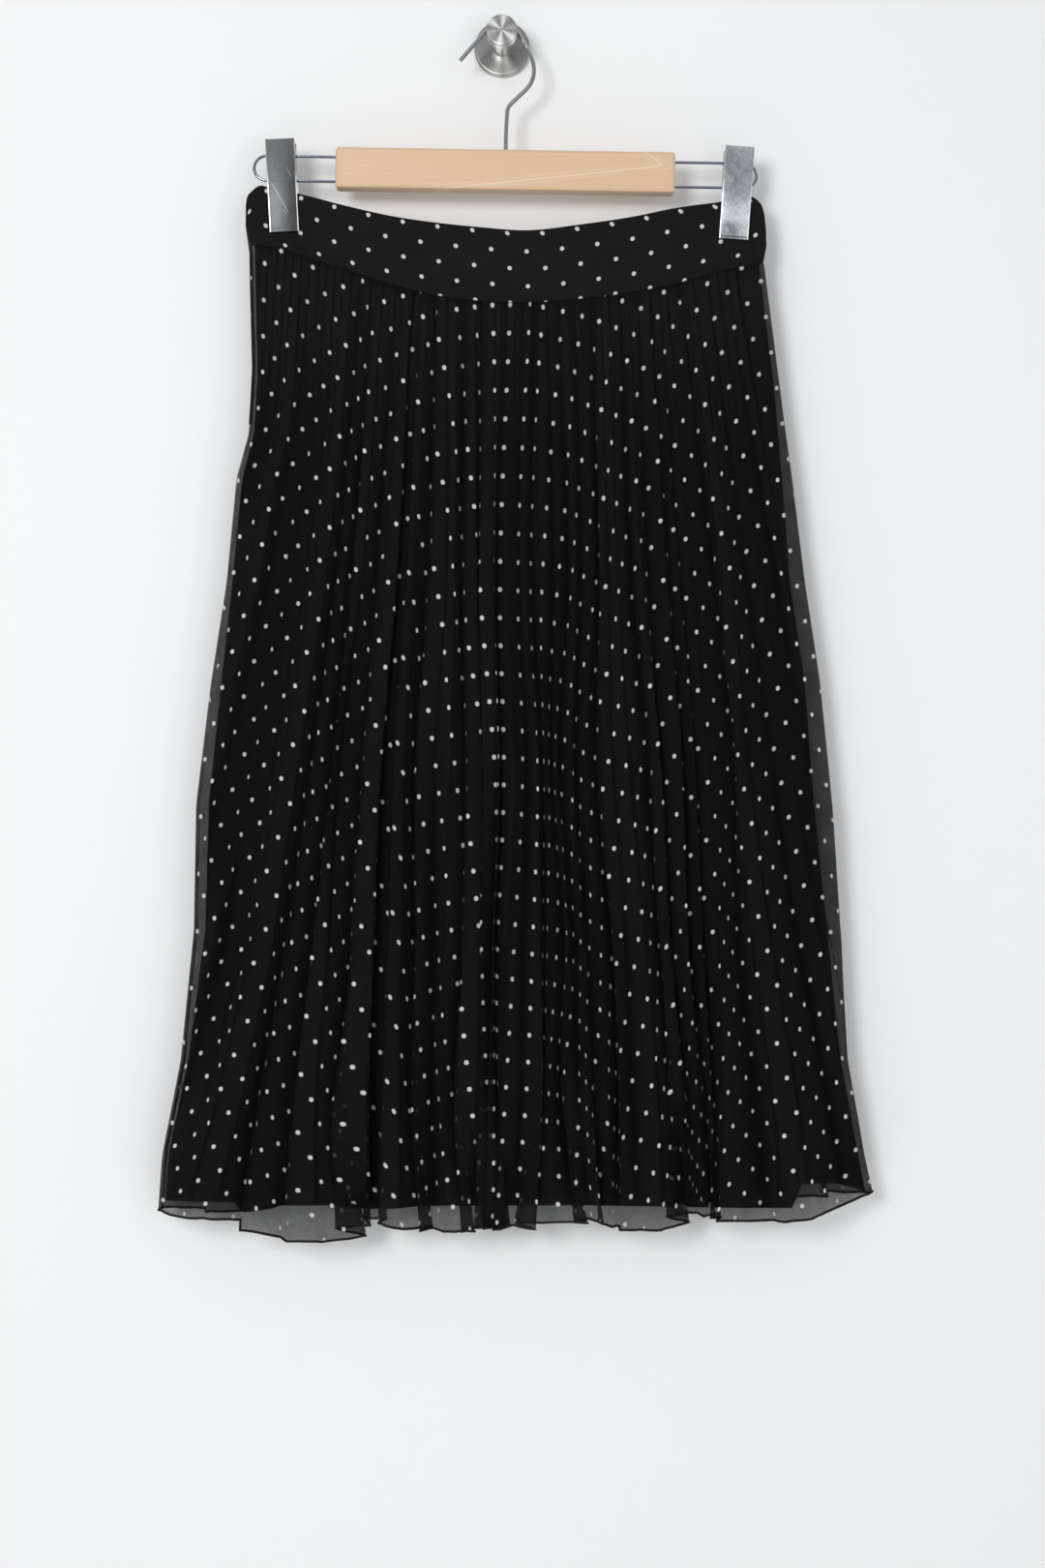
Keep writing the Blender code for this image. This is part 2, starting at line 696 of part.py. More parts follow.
def main():
    clear_scene()
    chiffon = material("dotted black chiffon", (0.012, 0.012, 0.013), 0.75)
    yoke_cloth = material("dotted black waistband cloth", (0.014, 0.014, 0.015), 0.7)
    lining = material("black lining", (0.010, 0.010, 0.011), 0.6)
    tape = material("black zip tape", (0.02, 0.02, 0.02), 0.6)
    beech = material("beech", (0.70, 0.52, 0.36), 0.5)
    chrome = material("chrome wire", (0.78, 0.78, 0.80), 0.15, 1.0)
    sheet = material("zinc-plated sheet", (0.62, 0.64, 0.63), 0.3, 1.0)
    steel = material("brushed steel", (0.66, 0.65, 0.63), 0.32, 1.0)

    add_disc("wall_rosette", ROSETTE_RADIUS, 0.0, ROSETTE_DEPTH, ROSETTE_ROUNDING, steel)
    post_back = ROSETTE_DEPTH + GAP
    add_disc("wall_post", POST_RADIUS, post_back, KNOB_BACK - GAP, 0.0, steel)
    add_disc("wall_knob", KNOB_RADIUS, KNOB_BACK, KNOB_FRONT, KNOB_ROUNDING, steel)

    add_hook(chrome)
    add_bar(beech)
    add_rail("rail_left", -1, chrome)
    add_rail("rail_right", 1, chrome)
    for side, x, z, lean in CLIPS:
        add_jaw(f"clip_{side}_front", FORWARD, x, z, lean, sheet)
        add_jaw(f"clip_{side}_back", BACKWARD, x, z, lean, sheet)

    add_yoke("yoke_front", FORWARD, yoke_cloth)
    add_yoke("yoke_back", BACKWARD, yoke_cloth)
    add_zip(tape)
    add_pleated_panel("skirt_front", FORWARD, FRONT_FOLDS, FRONT_HEM_ACROSS, FRONT_HEM, chiffon)
    add_pleated_panel("skirt_back", BACKWARD, BACK_FOLDS, BACK_HEM_ACROSS, BACK_HEM, chiffon)
    add_lining("lining_front", FORWARD, lining)
    add_lining("lining_back", BACKWARD, lining)


main()
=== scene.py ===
import math

import bpy
import numpy as np
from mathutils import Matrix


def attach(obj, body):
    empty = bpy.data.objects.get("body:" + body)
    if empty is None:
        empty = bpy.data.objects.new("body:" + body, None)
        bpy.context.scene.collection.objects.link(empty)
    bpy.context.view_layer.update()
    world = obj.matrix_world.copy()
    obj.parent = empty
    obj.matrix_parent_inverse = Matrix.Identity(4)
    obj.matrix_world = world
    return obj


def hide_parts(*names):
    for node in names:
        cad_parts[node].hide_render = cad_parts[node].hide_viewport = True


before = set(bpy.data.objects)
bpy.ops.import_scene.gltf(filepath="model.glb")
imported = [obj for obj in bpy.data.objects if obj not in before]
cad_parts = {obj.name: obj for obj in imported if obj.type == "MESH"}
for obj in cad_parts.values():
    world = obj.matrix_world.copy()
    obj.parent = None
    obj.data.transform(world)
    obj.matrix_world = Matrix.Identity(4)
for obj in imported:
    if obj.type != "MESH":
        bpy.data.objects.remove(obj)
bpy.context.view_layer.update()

# ---------------------------------------------------------------------------------------------
# Studio: a level camera in front of a plain pale wall, a pale floor below the view, and soft
# light from both sides with the stronger one at the left. The wall lets the light and the view
# through from behind, where a third light stands.
CAMERA_LENS = 47.5
CAMERA_PLACE = (0.0147, -1.5, -0.5319)
WALL_BEHIND = 0.0006
FLOOR_HEIGHT = -1.45
STUDIO_SIZE = 9.0
AIR_TINT = (0.97, 0.985, 1.0, 1.0)
AIR_LIGHT = 0.56
STUDIO_LIGHTS = (
    # name, watts, size, place, pitch and turn in degrees
    ("key", 22.0, 0.55, (-0.72, -2.10, -0.10), 79.5, -19.5),
    ("fill", 6.0, 1.0, (0.80, -2.10, -0.50), 90.0, 21.0),
    ("back", 12.0, 1.4, (0.90, 1.60, 0.30), -68.0, -30.0),
)

camera_data = bpy.data.cameras.new("camera")
camera_data.lens = CAMERA_LENS
camera = bpy.data.objects.new("camera", camera_data)
camera.location = CAMERA_PLACE
camera.rotation_euler = (math.pi / 2, 0.0, 0.0)
bpy.context.scene.collection.objects.link(camera)
bpy.context.scene.camera = camera
bpy.context.scene.view_settings.view_transform = "Standard"


class Strand:
    """One value of a finish, such as a height or a mask. Plain arithmetic adds Math nodes."""

    def __init__(self, finish, socket):
        self.finish = finish
        self.socket = socket

    def out(self, name):
        return Strand(self.finish, self.socket.node.outputs[name])

    def math(self, operation, *others):
        values = dict(enumerate((self, *others)))
        return self.finish.node("ShaderNodeMath", 0, {"operation": operation}, values)

    def __add__(self, other):
        return self.math("ADD", other)

    def __sub__(self, other):
        return self.math("SUBTRACT", other)

    def __mul__(self, other):
        return self.math("MULTIPLY", other)

    def __rsub__(self, other):
        return self.finish.node("ShaderNodeMath", 0, {"operation": "SUBTRACT"}, {0: other, 1: self})

    __radd__ = __add__
    __rmul__ = __mul__

    def step(self, start, end, low=0.0, high=1.0):
        """Rises or falls softly from low at the start to high at the end."""
        settings = {"interpolation_type": "SMOOTHSTEP"}
        values = {0: self, 1: start, 2: end, 3: low, 4: high}
        return self.finish.node("ShaderNodeMapRange", 0, settings, values)


class Finish:
    """A material whose pattern is written with strands."""

    def __init__(self, name):
        self.material = bpy.data.materials.new(name)
        self.material.use_nodes = True
        self.tree = self.material.node_tree
        self.tree.nodes.clear()
        self.output = self.tree.nodes.new("ShaderNodeOutputMaterial")

    def node(self, kind, out=0, settings=None, values=None):
        """Adds a node with its settings, and with values or strands for its sockets."""
        made = self.tree.nodes.new(kind)
        for key, value in (settings or {}).items():
            if key == "stops":
                ramp = made.color_ramp
                while len(ramp.elements) < len(value):
                    ramp.elements.new(1.0)
                for element, (place, colour) in zip(ramp.elements, value):
                    element.position = place
                    element.color = (*colour, 1.0)
            else:
                setattr(made, key, value)
        for key, value in (values or {}).items():
            socket = made.inputs[key]
            if isinstance(value, Strand):
                self.tree.links.new(value.socket, socket)
            elif isinstance(value, tuple) and len(value) == 3 and socket.type == "RGBA":
                socket.default_value = (*value, 1.0)
            else:
                socket.default_value = value
        return Strand(self, made.outputs[out])

    def place(self):
        """The place on the object, in metres."""
        return self.node("ShaderNodeTexCoord", "Object")

    def mapped(self, vector, scale=(1.0, 1.0, 1.0), turn=(0.0, 0.0, 0.0), shift=(0.0, 0.0, 0.0)):
        """A vector that is scaled, then turned, then shifted."""
        return self.node("ShaderNodeMapping", 0, None, {0: vector, 1: shift, 2: turn, 3: scale})

    def vectors(self, operation, *values, out=0):
        return self.node("ShaderNodeVectorMath", out, {"operation": operation}, dict(enumerate(values)))

    def parts(self, vector):
        """The x, y and z of a vector, each as a strand."""
        apart = self.node("ShaderNodeSeparateXYZ", 0, None, {0: vector})
        return [apart.out(axis) for axis in "XYZ"]

    def noise(self, vector, scale, detail=2.0, roughness=0.5, distortion=0.0):
        values = {"Vector": vector, "Scale": scale, "Detail": detail}
        values.update({"Roughness": roughness, "Distortion": distortion})
        return self.node("ShaderNodeTexNoise", 0, None, values)

    def blend(self, share, first, second):
        return self.node("ShaderNodeMix", 2, {"data_type": "RGBA"}, {0: share, 6: first, 7: second})

    def bump(self, height, distance, strength=1.0):
        values = {"Height": height, "Distance": distance, "Strength": strength}
        return self.node("ShaderNodeBump", 0, None, values)

    def surface(self, **values):
        named = {key.replace("_", " ").title().replace("Ior", "IOR"): v for key, v in values.items()}
        return self.node("ShaderNodeBsdfPrincipled", 0, None, named)

    def show(self, shader):
        """Makes this shader the finish, and gives the finished material."""
        self.tree.links.new(shader.socket, self.output.inputs["Surface"])
        return self.material


def studio_plane(name, place, turn, finish):
    bpy.ops.object.select_all(action="DESELECT")
    bpy.ops.mesh.primitive_plane_add(size=STUDIO_SIZE, location=place, rotation=turn)
    plane = bpy.context.object
    plane.name = name
    plane.data.materials.append(finish)
    return plane


paint = Finish("white wall paint")
grit = paint.noise(paint.place(), 260.0, 3.0)
plaster = paint.surface(
    base_color=(0.84, 0.845, 0.85),
    roughness=0.9,
    specular_ior_level=0.1,
    normal=paint.bump(grit, 0.0002, 0.2),
)
seen_from_behind = paint.node("ShaderNodeNewGeometry", "Backfacing")
clear = paint.node("ShaderNodeBsdfTransparent")
one_way = paint.node("ShaderNodeMixShader", 0, None, {0: seen_from_behind, 1: plaster, 2: clear})
wall = studio_plane("studio_wall", (0, WALL_BEHIND, 0), (math.pi / 2, 0, 0), paint.show(one_way))
wall.visible_shadow = False

screed = Finish("pale floor")
cloudy = screed.noise(screed.place(), 3.0, 4.0)
floor_tone = screed.blend(cloudy, (0.72, 0.72, 0.72), (0.78, 0.78, 0.775))
floor_face = screed.surface(base_color=floor_tone, roughness=0.7)
studio_plane("studio_floor", (0, 0, FLOOR_HEIGHT), (0, 0, 0), screed.show(floor_face))

world = bpy.data.worlds.new("studio air")
world.use_nodes = True
bpy.context.scene.world = world
air = world.node_tree.nodes["Background"]
air.inputs["Color"].default_value = AIR_TINT
air.inputs["Strength"].default_value = AIR_LIGHT

for name, watts, size, place, pitch, turn in STUDIO_LIGHTS:
    lamp = bpy.data.lights.new(name, "AREA")
    lamp.energy = watts
    lamp.size = size
    light = bpy.data.objects.new(name, lamp)
    light.location = place
    light.rotation_euler = (math.radians(pitch), 0.0, math.radians(turn))
    bpy.context.scene.collection.objects.link(light)

# ---------------------------------------------------------------------------------------------
# Wall knob: a rosette, a post and a knob turned from stainless steel and brushed round their
# axis. They're screwed together and to the wall.
HANG_Y = -0.031
TURNED_STEPS = 96
BRUSH_LINES = 5200.0
KNOB_PARTS = (
    # piece, part, its profile of (radius, y) points, its painted highlight wedges (degrees about the
    # axis and strength), how sharp they are, and its dark and light tone
    (
        "knob_rosette", "rosette",
        ((0.0, 0.0), (0.0197, 0.0), (0.0200, -0.0004), (0.0200, -0.0038), (0.0198, -0.0043),
         (0.0194, -0.0048), (0.0189, -0.0050), (0.0184, -0.0050), (0.0100, -0.0050), (0.0, -0.0050)),
        ((-103.0, 0.8), (-72.0, 0.7), (98.0, 0.5), (-30.0, 0.15)),
        30.0, (0.28, 0.28, 0.27), (0.60, 0.60, 0.58),
    ),
    (
        "knob_post", "post",
        ((0.0, -0.0052), (0.0064, -0.0052), (0.0060, -0.0056), (0.00575, -0.0064),
         (0.00575, -0.0326), (0.0060, -0.0332), (0.0, -0.0332)),
        ((-112.0, 0.9), (-62.0, 1.0), (90.0, 0.6)),
        34.0, (0.56, 0.56, 0.55), (0.95, 0.95, 0.94),
    ),
    (
        "knob_face", "knob",
        ((0.0, -0.0335), (0.0103, -0.0335), (0.0109, -0.0339), (0.0110, -0.0345), (0.0110, -0.0405),
         (0.0108, -0.0410), (0.0104, -0.0414), (0.0101, -0.0415), (0.0097, -0.0415),
         (0.0050, -0.0415), (0.0, -0.0415)),
        ((142.0, 0.9), (81.0, 0.9), (-37.0, 1.0), (-99.0, 1.0), (15.0, 0.25), (195.0, 0.25)),
        26.0, (0.28, 0.28, 0.275), (0.94, 0.94, 0.93),
    ),
)


def new_piece(name, mesh, finish):
    piece = bpy.data.objects.new(name, mesh)
    bpy.context.scene.collection.objects.link(piece)
    mesh.materials.append(finish)
    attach(piece, "root")
    return piece


def edit(piece):
    """Opens one piece for editing, selected all over."""
    bpy.ops.object.select_all(action="DESELECT")
    piece.select_set(True)
    bpy.context.view_layer.objects.active = piece
    bpy.ops.object.mode_set(mode="EDIT")
    bpy.ops.mesh.select_all(action="SELECT")


def done(smooth_below):
    """Turns the faces outwards, closes editing and smooths edges below an angle in degrees."""
    bpy.ops.mesh.select_all(action="SELECT")
    bpy.ops.mesh.normals_make_consistent(inside=False)
    bpy.ops.object.mode_set(mode="OBJECT")
    bpy.ops.object.shade_smooth_by_angle(angle=math.radians(smooth_below))


def turned(name, profile, finish):
    """A piece spun about the knob's axis from a profile of (radius, y) points."""
    mesh = bpy.data.meshes.new(name)
    points = [(radius, y, 0.0) for radius, y in profile]
    mesh.from_pydata(points, [(i, i + 1) for i in range(len(points) - 1)], [])
    piece = new_piece(name, mesh, finish)
    edit(piece)
    bpy.ops.mesh.spin(steps=TURNED_STEPS, angle=2 * math.pi, center=(0, 0, 0), axis=(0, 1, 0))
    bpy.ops.mesh.select_all(action="SELECT")
    bpy.ops.mesh.remove_doubles(threshold=0.00001)
    done(30)
    return piece


def brushed_steel(name, highlight_wedges, sharpness, dark, light):
    """Steel brushed in rings, with highlights painted as light wedges at some angles about the knob's
    axis.
    """
    steel = Finish(name)
    across, depth, up = steel.parts(steel.place())
    radius = (across * across + up * up).math("SQRT")
    angle = up.math("ARCTAN2", across)
    values = {0: radius * BRUSH_LINES, 1: depth * BRUSH_LINES}
    rings = steel.node("ShaderNodeCombineXYZ", 0, None, values)
    ring_noise = steel.noise(rings, 1.0, 3.0, 0.6)
    painted_highlight = None
    for degrees, strength in highlight_wedges:
        turned_by = angle - math.radians(degrees) + (ring_noise - 0.5) * 0.12
        lit = turned_by.math("COSINE").math("MAXIMUM", 0.0).math("POWER", sharpness) * strength
        painted_highlight = lit if painted_highlight is None else painted_highlight.math("MAXIMUM", lit)
    smudge = steel.noise(steel.place(), 210.0, 3.0)
    # The painted highlight wedges are mixed with the real brushing and smudges.
    highlight_and_brushing = painted_highlight + (ring_noise - 0.5) * 0.5 + (smudge - 0.5) * 0.4
    tone = steel.blend(highlight_and_brushing.math("MAXIMUM", 0.0), dark, light)
    face = steel.surface(
        base_color=tone,
        metallic=1.0,
        roughness=ring_noise * 0.14 + 0.26,
        normal=steel.bump(ring_noise, 0.00006, 0.4),
    )
    return steel.show(face)


for name, part, profile, highlight_wedges, sharpness, dark, light in KNOB_PARTS:
    steel = brushed_steel(f"brushed {part} steel", highlight_wedges, sharpness, dark, light)
    piece = turned(name, profile, steel)
    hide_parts(f"wall_{part}")

# ---------------------------------------------------------------------------------------------
# Hanger: a beech bar, a wire hook through a hole in its top, and a looped wire rail in each end.
# The wires are chromed steel.
BAR_CENTRE = (0.0025, -0.0973)
BAR_LENGTH = 0.2406
BAR_HEIGHT = 0.0289
BAR_TILT = math.radians(0.9)
HOOK_WIRE_RADIUS = 0.0015
HOOK_IN_BAR = 0.0147
RAIL_WIRE_RADIUS = 0.00105
RAIL_HALF_GAP = 0.0087
RAIL_REACH = 0.1784
RAIL_IN_BAR = 0.0117
RAIL_RUN_STEPS = 8
RAIL_TURN_STEPS = 24
# A pale loop of grain at the bar's right end: its apex (x, z), its turn, how wide it opens along
# its length, and how round its apex is.
LOOP_APEX = (0.1130, -0.0940)
LOOP_TURN = math.radians(13)
LOOP_OPENING = 0.34
LOOP_ROUND = 0.004
HOOK_BENDS = (
    # x, z, from the free tip over the post and down to just above the bar
    (-0.0296, -0.0182),
    (-0.0250, -0.0129),
    (-0.0205, -0.0078),
    (-0.0142, -0.0007),
    (-0.0080, 0.0049),
    (0.0000, 0.00755),
    (0.0085, 0.0045),
    (0.0154, -0.0048),
    (0.0209, -0.0151),
    (0.0229, -0.0247),
    (0.0212, -0.0330),
    (0.0168, -0.0392),
    (0.0109, -0.0447),
    (0.0061, -0.0495),
    (0.0042, -0.0525),
    (0.0036, -0.0577),
    (0.0030, -0.0700),
)


def in_bar_frame(along, up):
    """A point of the tilted hanger, from its place along and above the bar's middle."""
    x = BAR_CENTRE[0] + along * math.cos(BAR_TILT) + up * math.sin(BAR_TILT)
    z = BAR_CENTRE[1] - along * math.sin(BAR_TILT) + up * math.cos(BAR_TILT)
    return (x, HANG_Y, z)


def smooth_route(corners, steps):
    """A Catmull-Rom curve through given points."""
    padded = [np.array(p) for p in (corners[0], *corners, corners[-1])]
    route = []
    for i in range(1, len(padded) - 2):
        before, start, end, after = padded[i - 1 : i + 3]
        for step in range(steps):
            t = step / steps
            bend = 2 * before - 5 * start + 4 * end - after
            twist = 3 * start - before - 3 * end + after
            route.append(start + (end - before) * t / 2 + bend * t**2 / 2 + twist * t**3 / 2)
    route.append(padded[-1])
    return np.array(route)


def drawn_wire(name, route, radius, rounding, finish):
    """A round wire or roll along a route, with closed ends."""
    bpy.ops.object.select_all(action="DESELECT")
    bpy.ops.curve.primitive_nurbs_path_add(location=(0, 0, 0))
    wire = bpy.context.object
    wire.name = name
    wire.data.name = name
    wire.data.splines.clear()
    line = wire.data.splines.new("POLY")
    line.points.add(len(route) - 1)
    for point, place in zip(line.points, route):
        point.co = (*place, 1.0)
    wire.data.bevel_depth = radius
    wire.data.bevel_resolution = rounding
    wire.data.use_fill_caps = True
    bpy.ops.object.convert(target="MESH")
    wire = bpy.context.object
    wire.data.materials.clear()
    wire.data.materials.append(finish)
    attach(wire, "root")
    edit(wire)
    bpy.ops.mesh.remove_doubles(threshold=0.000001)
    done(50)
    return wire


def chromed_wire(name, painted_upper_reflection, painted_lower_reflection):
    """Chrome with painted reflections: its colour is lighter on the upper side, for the pale room, and
    darker on the lower side.
    """
    chrome = Finish(name)
    scuff = chrome.noise(chrome.place(), 900.0, 4.0, 0.6)
    worn = scuff.step(0.52, 0.72)
    _, _, upward = chrome.parts(chrome.node("ShaderNodeTexCoord", "Normal"))
    # Painted reflection: lighter where the surface faces up, darker where it faces down.
    tone = chrome.blend(upward.step(-0.30, 0.35), painted_lower_reflection, painted_upper_reflection)
    face = chrome.surface(
        base_color=chrome.blend(worn * 0.5, tone, (0.30, 0.31, 0.33)),
        metallic=1.0,
        roughness=worn * 0.22 + 0.12,
        normal=chrome.bump(scuff, 0.00004, 0.4),
    )
    return chrome.show(face)


def varnished_beech():
    beech = Finish("varnished beech")
    place = beech.place()
    grain_place = beech.mapped(place, (9.0, 60.0, 60.0))
    wander = beech.noise(beech.mapped(place, (5.0, 30.0, 30.0)), 1.0, 3.0)
    rings = beech.node(
        "ShaderNodeTexWave", 0,
        {"wave_type": "BANDS", "bands_direction": "Z", "wave_profile": "SAW"},
        {"Vector": grain_place, "Scale": 1.6, "Distortion": 5.0, "Detail": 3.0, "Detail Scale": 0.8},
    ).out("Fac")
    fibre = beech.noise(beech.mapped(place, (40.0, 900.0, 900.0)), 1.0, 4.0, 0.65)
    fleck = beech.noise(beech.mapped(place, (90.0, 700.0, 700.0)), 1.0, 2.0).step(0.66, 0.74)
    light = beech.blend(rings * 0.25 + wander * 0.55, (0.692, 0.493, 0.319), (0.603, 0.406, 0.249))
    x, _, z = beech.parts(place)
    from_x = x - LOOP_APEX[0]
    from_z = z - LOOP_APEX[1]
    along = from_x * math.cos(LOOP_TURN) - from_z * math.sin(LOOP_TURN)
    aside = from_x * math.sin(LOOP_TURN) + from_z * math.cos(LOOP_TURN)
    reach = ((aside * aside) * (1 / LOOP_OPENING**2) + LOOP_ROUND**2).math("SQRT")
    off_loop = (along + reach - LOOP_ROUND + (wander - 0.5) * 0.004).math("ABSOLUTE")
    loop = off_loop.step(0.0032, 0.0010) + (off_loop - 0.0075).math("ABSOLUTE").step(0.0022, 0.0006) * 0.4
    light = beech.blend(loop * 0.7, light, (0.78, 0.60, 0.415))
    tone = beech.blend(fleck * 0.35 + fibre * 0.16, light, (0.50, 0.33, 0.20))
    face = beech.surface(
        base_color=tone,
        roughness=fibre * 0.15 + 0.38,
        coat_weight=0.25,
        coat_roughness=0.25,
        normal=beech.bump(fibre, 0.00006, 0.35),
    )
    return beech.show(face)


# Each chrome gets a painted reflection tone for its upper and its lower side.
hook_chrome = chromed_wire("chromed hook wire", (0.52, 0.54, 0.58), (0.22, 0.23, 0.25))
rail_chrome = chromed_wire("chromed rail wire", (0.50, 0.52, 0.58), (0.13, 0.14, 0.21))
hook_points = [(x, HANG_Y, z) for x, z in HOOK_BENDS]
hook_points += [in_bar_frame(0.0, BAR_HEIGHT / 2), in_bar_frame(0.0, BAR_HEIGHT / 2 - HOOK_IN_BAR)]
hook = drawn_wire("hook_wire", smooth_route(hook_points, 8), HOOK_WIRE_RADIUS, 6, hook_chrome)
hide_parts("hanger_hook")

for side_name, side in (("left", -1), ("right", 1)):
    inside = BAR_LENGTH / 2 - RAIL_IN_BAR
    turn_at = RAIL_REACH - RAIL_HALF_GAP
    route = []
    for step in range(RAIL_RUN_STEPS):
        along = side * (inside + (turn_at - inside) * step / RAIL_RUN_STEPS)
        route.append(in_bar_frame(along, RAIL_HALF_GAP))
    for step in range(RAIL_TURN_STEPS + 1):
        angle = math.pi / 2 - math.pi * step / RAIL_TURN_STEPS
        along = side * (turn_at + RAIL_HALF_GAP * math.cos(angle))
        route.append(in_bar_frame(along, RAIL_HALF_GAP * math.sin(angle)))
    for step in range(1, RAIL_RUN_STEPS + 1):
        along = side * (turn_at + (inside - turn_at) * step / RAIL_RUN_STEPS)
        route.append(in_bar_frame(along, -RAIL_HALF_GAP))
    rail = drawn_wire(f"rail_wire_{side_name}", route, RAIL_WIRE_RADIUS, 4, rail_chrome)
    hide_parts(f"rail_{side_name}")

beech = varnished_beech()
for slot in bpy.data.objects["hanger_bar"].material_slots:
    slot.material = beech

# ---------------------------------------------------------------------------------------------
# Clips: two folded jaws of zinc-plated sheet each, which slide on the rails and grip the yoke.
# Each jaw has a leaning face, a flange down each side and a turned lip, and is worn and scratched. Its
# colour also carries painted reflections, highlights and shade.
CLIP_WIDTH = 0.0206
CLIP_HEIGHT = 0.065
CLIP_SHEET = 0.0009
CLIP_BEND = 0.0006
CLIP_LIP = 0.0016
CLIP_FACE_BOTTOM = 0.0048
CLIP_FACE_TOP = 0.0078
CLIP_TOP_FLANGE = 0.0027
CLIP_TOP_TAPER = 0.008
CLIP_RAIL_ZONE = 0.0358
CLIP_STEP = 0.0015
CLIP_GRIP = 0.00245
CLIP_BESIDE_RAIL = 0.00135
CLIPS = (
    # side, centre of the lower lip (x, z), lean of the top to the right, share of cloudy marks, how
    # much lighter the right edge and darker the left edge are painted, as painted side light and
    # shade, painted reflection tones from the lip to the top, and its scratches (across, up, degrees
    # from upright, length)
    (
        "left", -0.1539, -0.1410, -math.radians(2.7), 0.03, 0.0,
        ((0.00, 0.042), (0.25, 0.046), (0.55, 0.072), (0.85, 0.140), (1.00, 0.190)),
        ((-0.0020, 0.0240, 27.0, 0.0260), (0.0050, 0.0420, 24.0, 0.0100), (0.0010, 0.0140, 40.0, 0.0060),
         (-0.0060, 0.0500, 15.0, 0.0080), (0.0040, 0.0560, -20.0, 0.0070)),
    ),
    (
        "right", 0.1642, -0.1461, math.radians(3.9), 0.75, 0.45,
        ((0.00, 0.15), (0.15, 0.18), (0.22, 0.48), (0.36, 0.48), (0.52, 0.26), (0.80, 0.32),
         (1.00, 0.62)),
        ((0.0040, 0.0560, 28.0, 0.0070), (-0.0030, 0.0440, -12.0, 0.0120),
         (0.0020, 0.0090, 38.0, 0.0070)),
    ),
)


def bent_jaw(name, way, x, z, lean, finish):
    """One jaw, bent up from sheet as an open channel. Its way is -1 in front and 1 behind."""
    outline = (
        (CLIP_GRIP, 0.0),
        (CLIP_FACE_BOTTOM, 0.0),
        (CLIP_FACE_TOP, CLIP_HEIGHT),
        (CLIP_FACE_TOP - CLIP_TOP_FLANGE, CLIP_HEIGHT),
        (CLIP_BESIDE_RAIL, CLIP_HEIGHT - CLIP_TOP_TAPER),
        (CLIP_BESIDE_RAIL, CLIP_RAIL_ZONE),
        (CLIP_GRIP, CLIP_RAIL_ZONE - CLIP_STEP),
    )
    mesh = bpy.data.meshes.new(name)
    side = [(-CLIP_WIDTH / 2, way * out, up) for out, up in outline]
    mesh.from_pydata(side, [], [tuple(range(len(side)))])
    jaw = new_piece(name, mesh, finish)
    edit(jaw)
    bpy.ops.mesh.extrude_region_move(TRANSFORM_OT_translate={"value": (CLIP_WIDTH, 0, 0)})
    bpy.ops.mesh.select_all(action="SELECT")
    bpy.ops.mesh.normals_make_consistent(inside=False)
    bpy.ops.mesh.select_all(action="DESELECT")
    bpy.ops.object.mode_set(mode="OBJECT")
    for face in mesh.polygons:
        middle = face.center
        at_side = abs(abs(middle.x) - CLIP_WIDTH / 2) < 0.0001
        at_face = abs(face.normal.y - way) < 0.01
        at_foot = face.normal.z < -0.9 and middle.z < 0.0001
        face.select = not (at_side or at_face or at_foot)
    bpy.ops.object.mode_set(mode="EDIT")
    bpy.ops.mesh.select_mode(type="FACE")
    bpy.ops.mesh.delete(type="FACE")
    bpy.ops.object.mode_set(mode="OBJECT")
    wall = jaw.modifiers.new("sheet", "SOLIDIFY")
    wall.thickness = CLIP_SHEET
    wall.offset = -1.0
    bend = jaw.modifiers.new("bend", "BEVEL")
    bend.width = CLIP_BEND
    bend.segments = 3
    bend.limit_method = "ANGLE"
    bend.angle_limit = math.radians(40)
    for modifier in ("sheet", "bend"):
        bpy.ops.object.modifier_apply(modifier=modifier)
    jaw.location = (x, HANG_Y, z)
    jaw.rotation_euler = (0.0, lean, 0.0)
    bpy.ops.object.transform_apply(location=True, rotation=True, scale=True)
    bpy.ops.object.shade_smooth_by_angle(angle=math.radians(35))
    return jaw


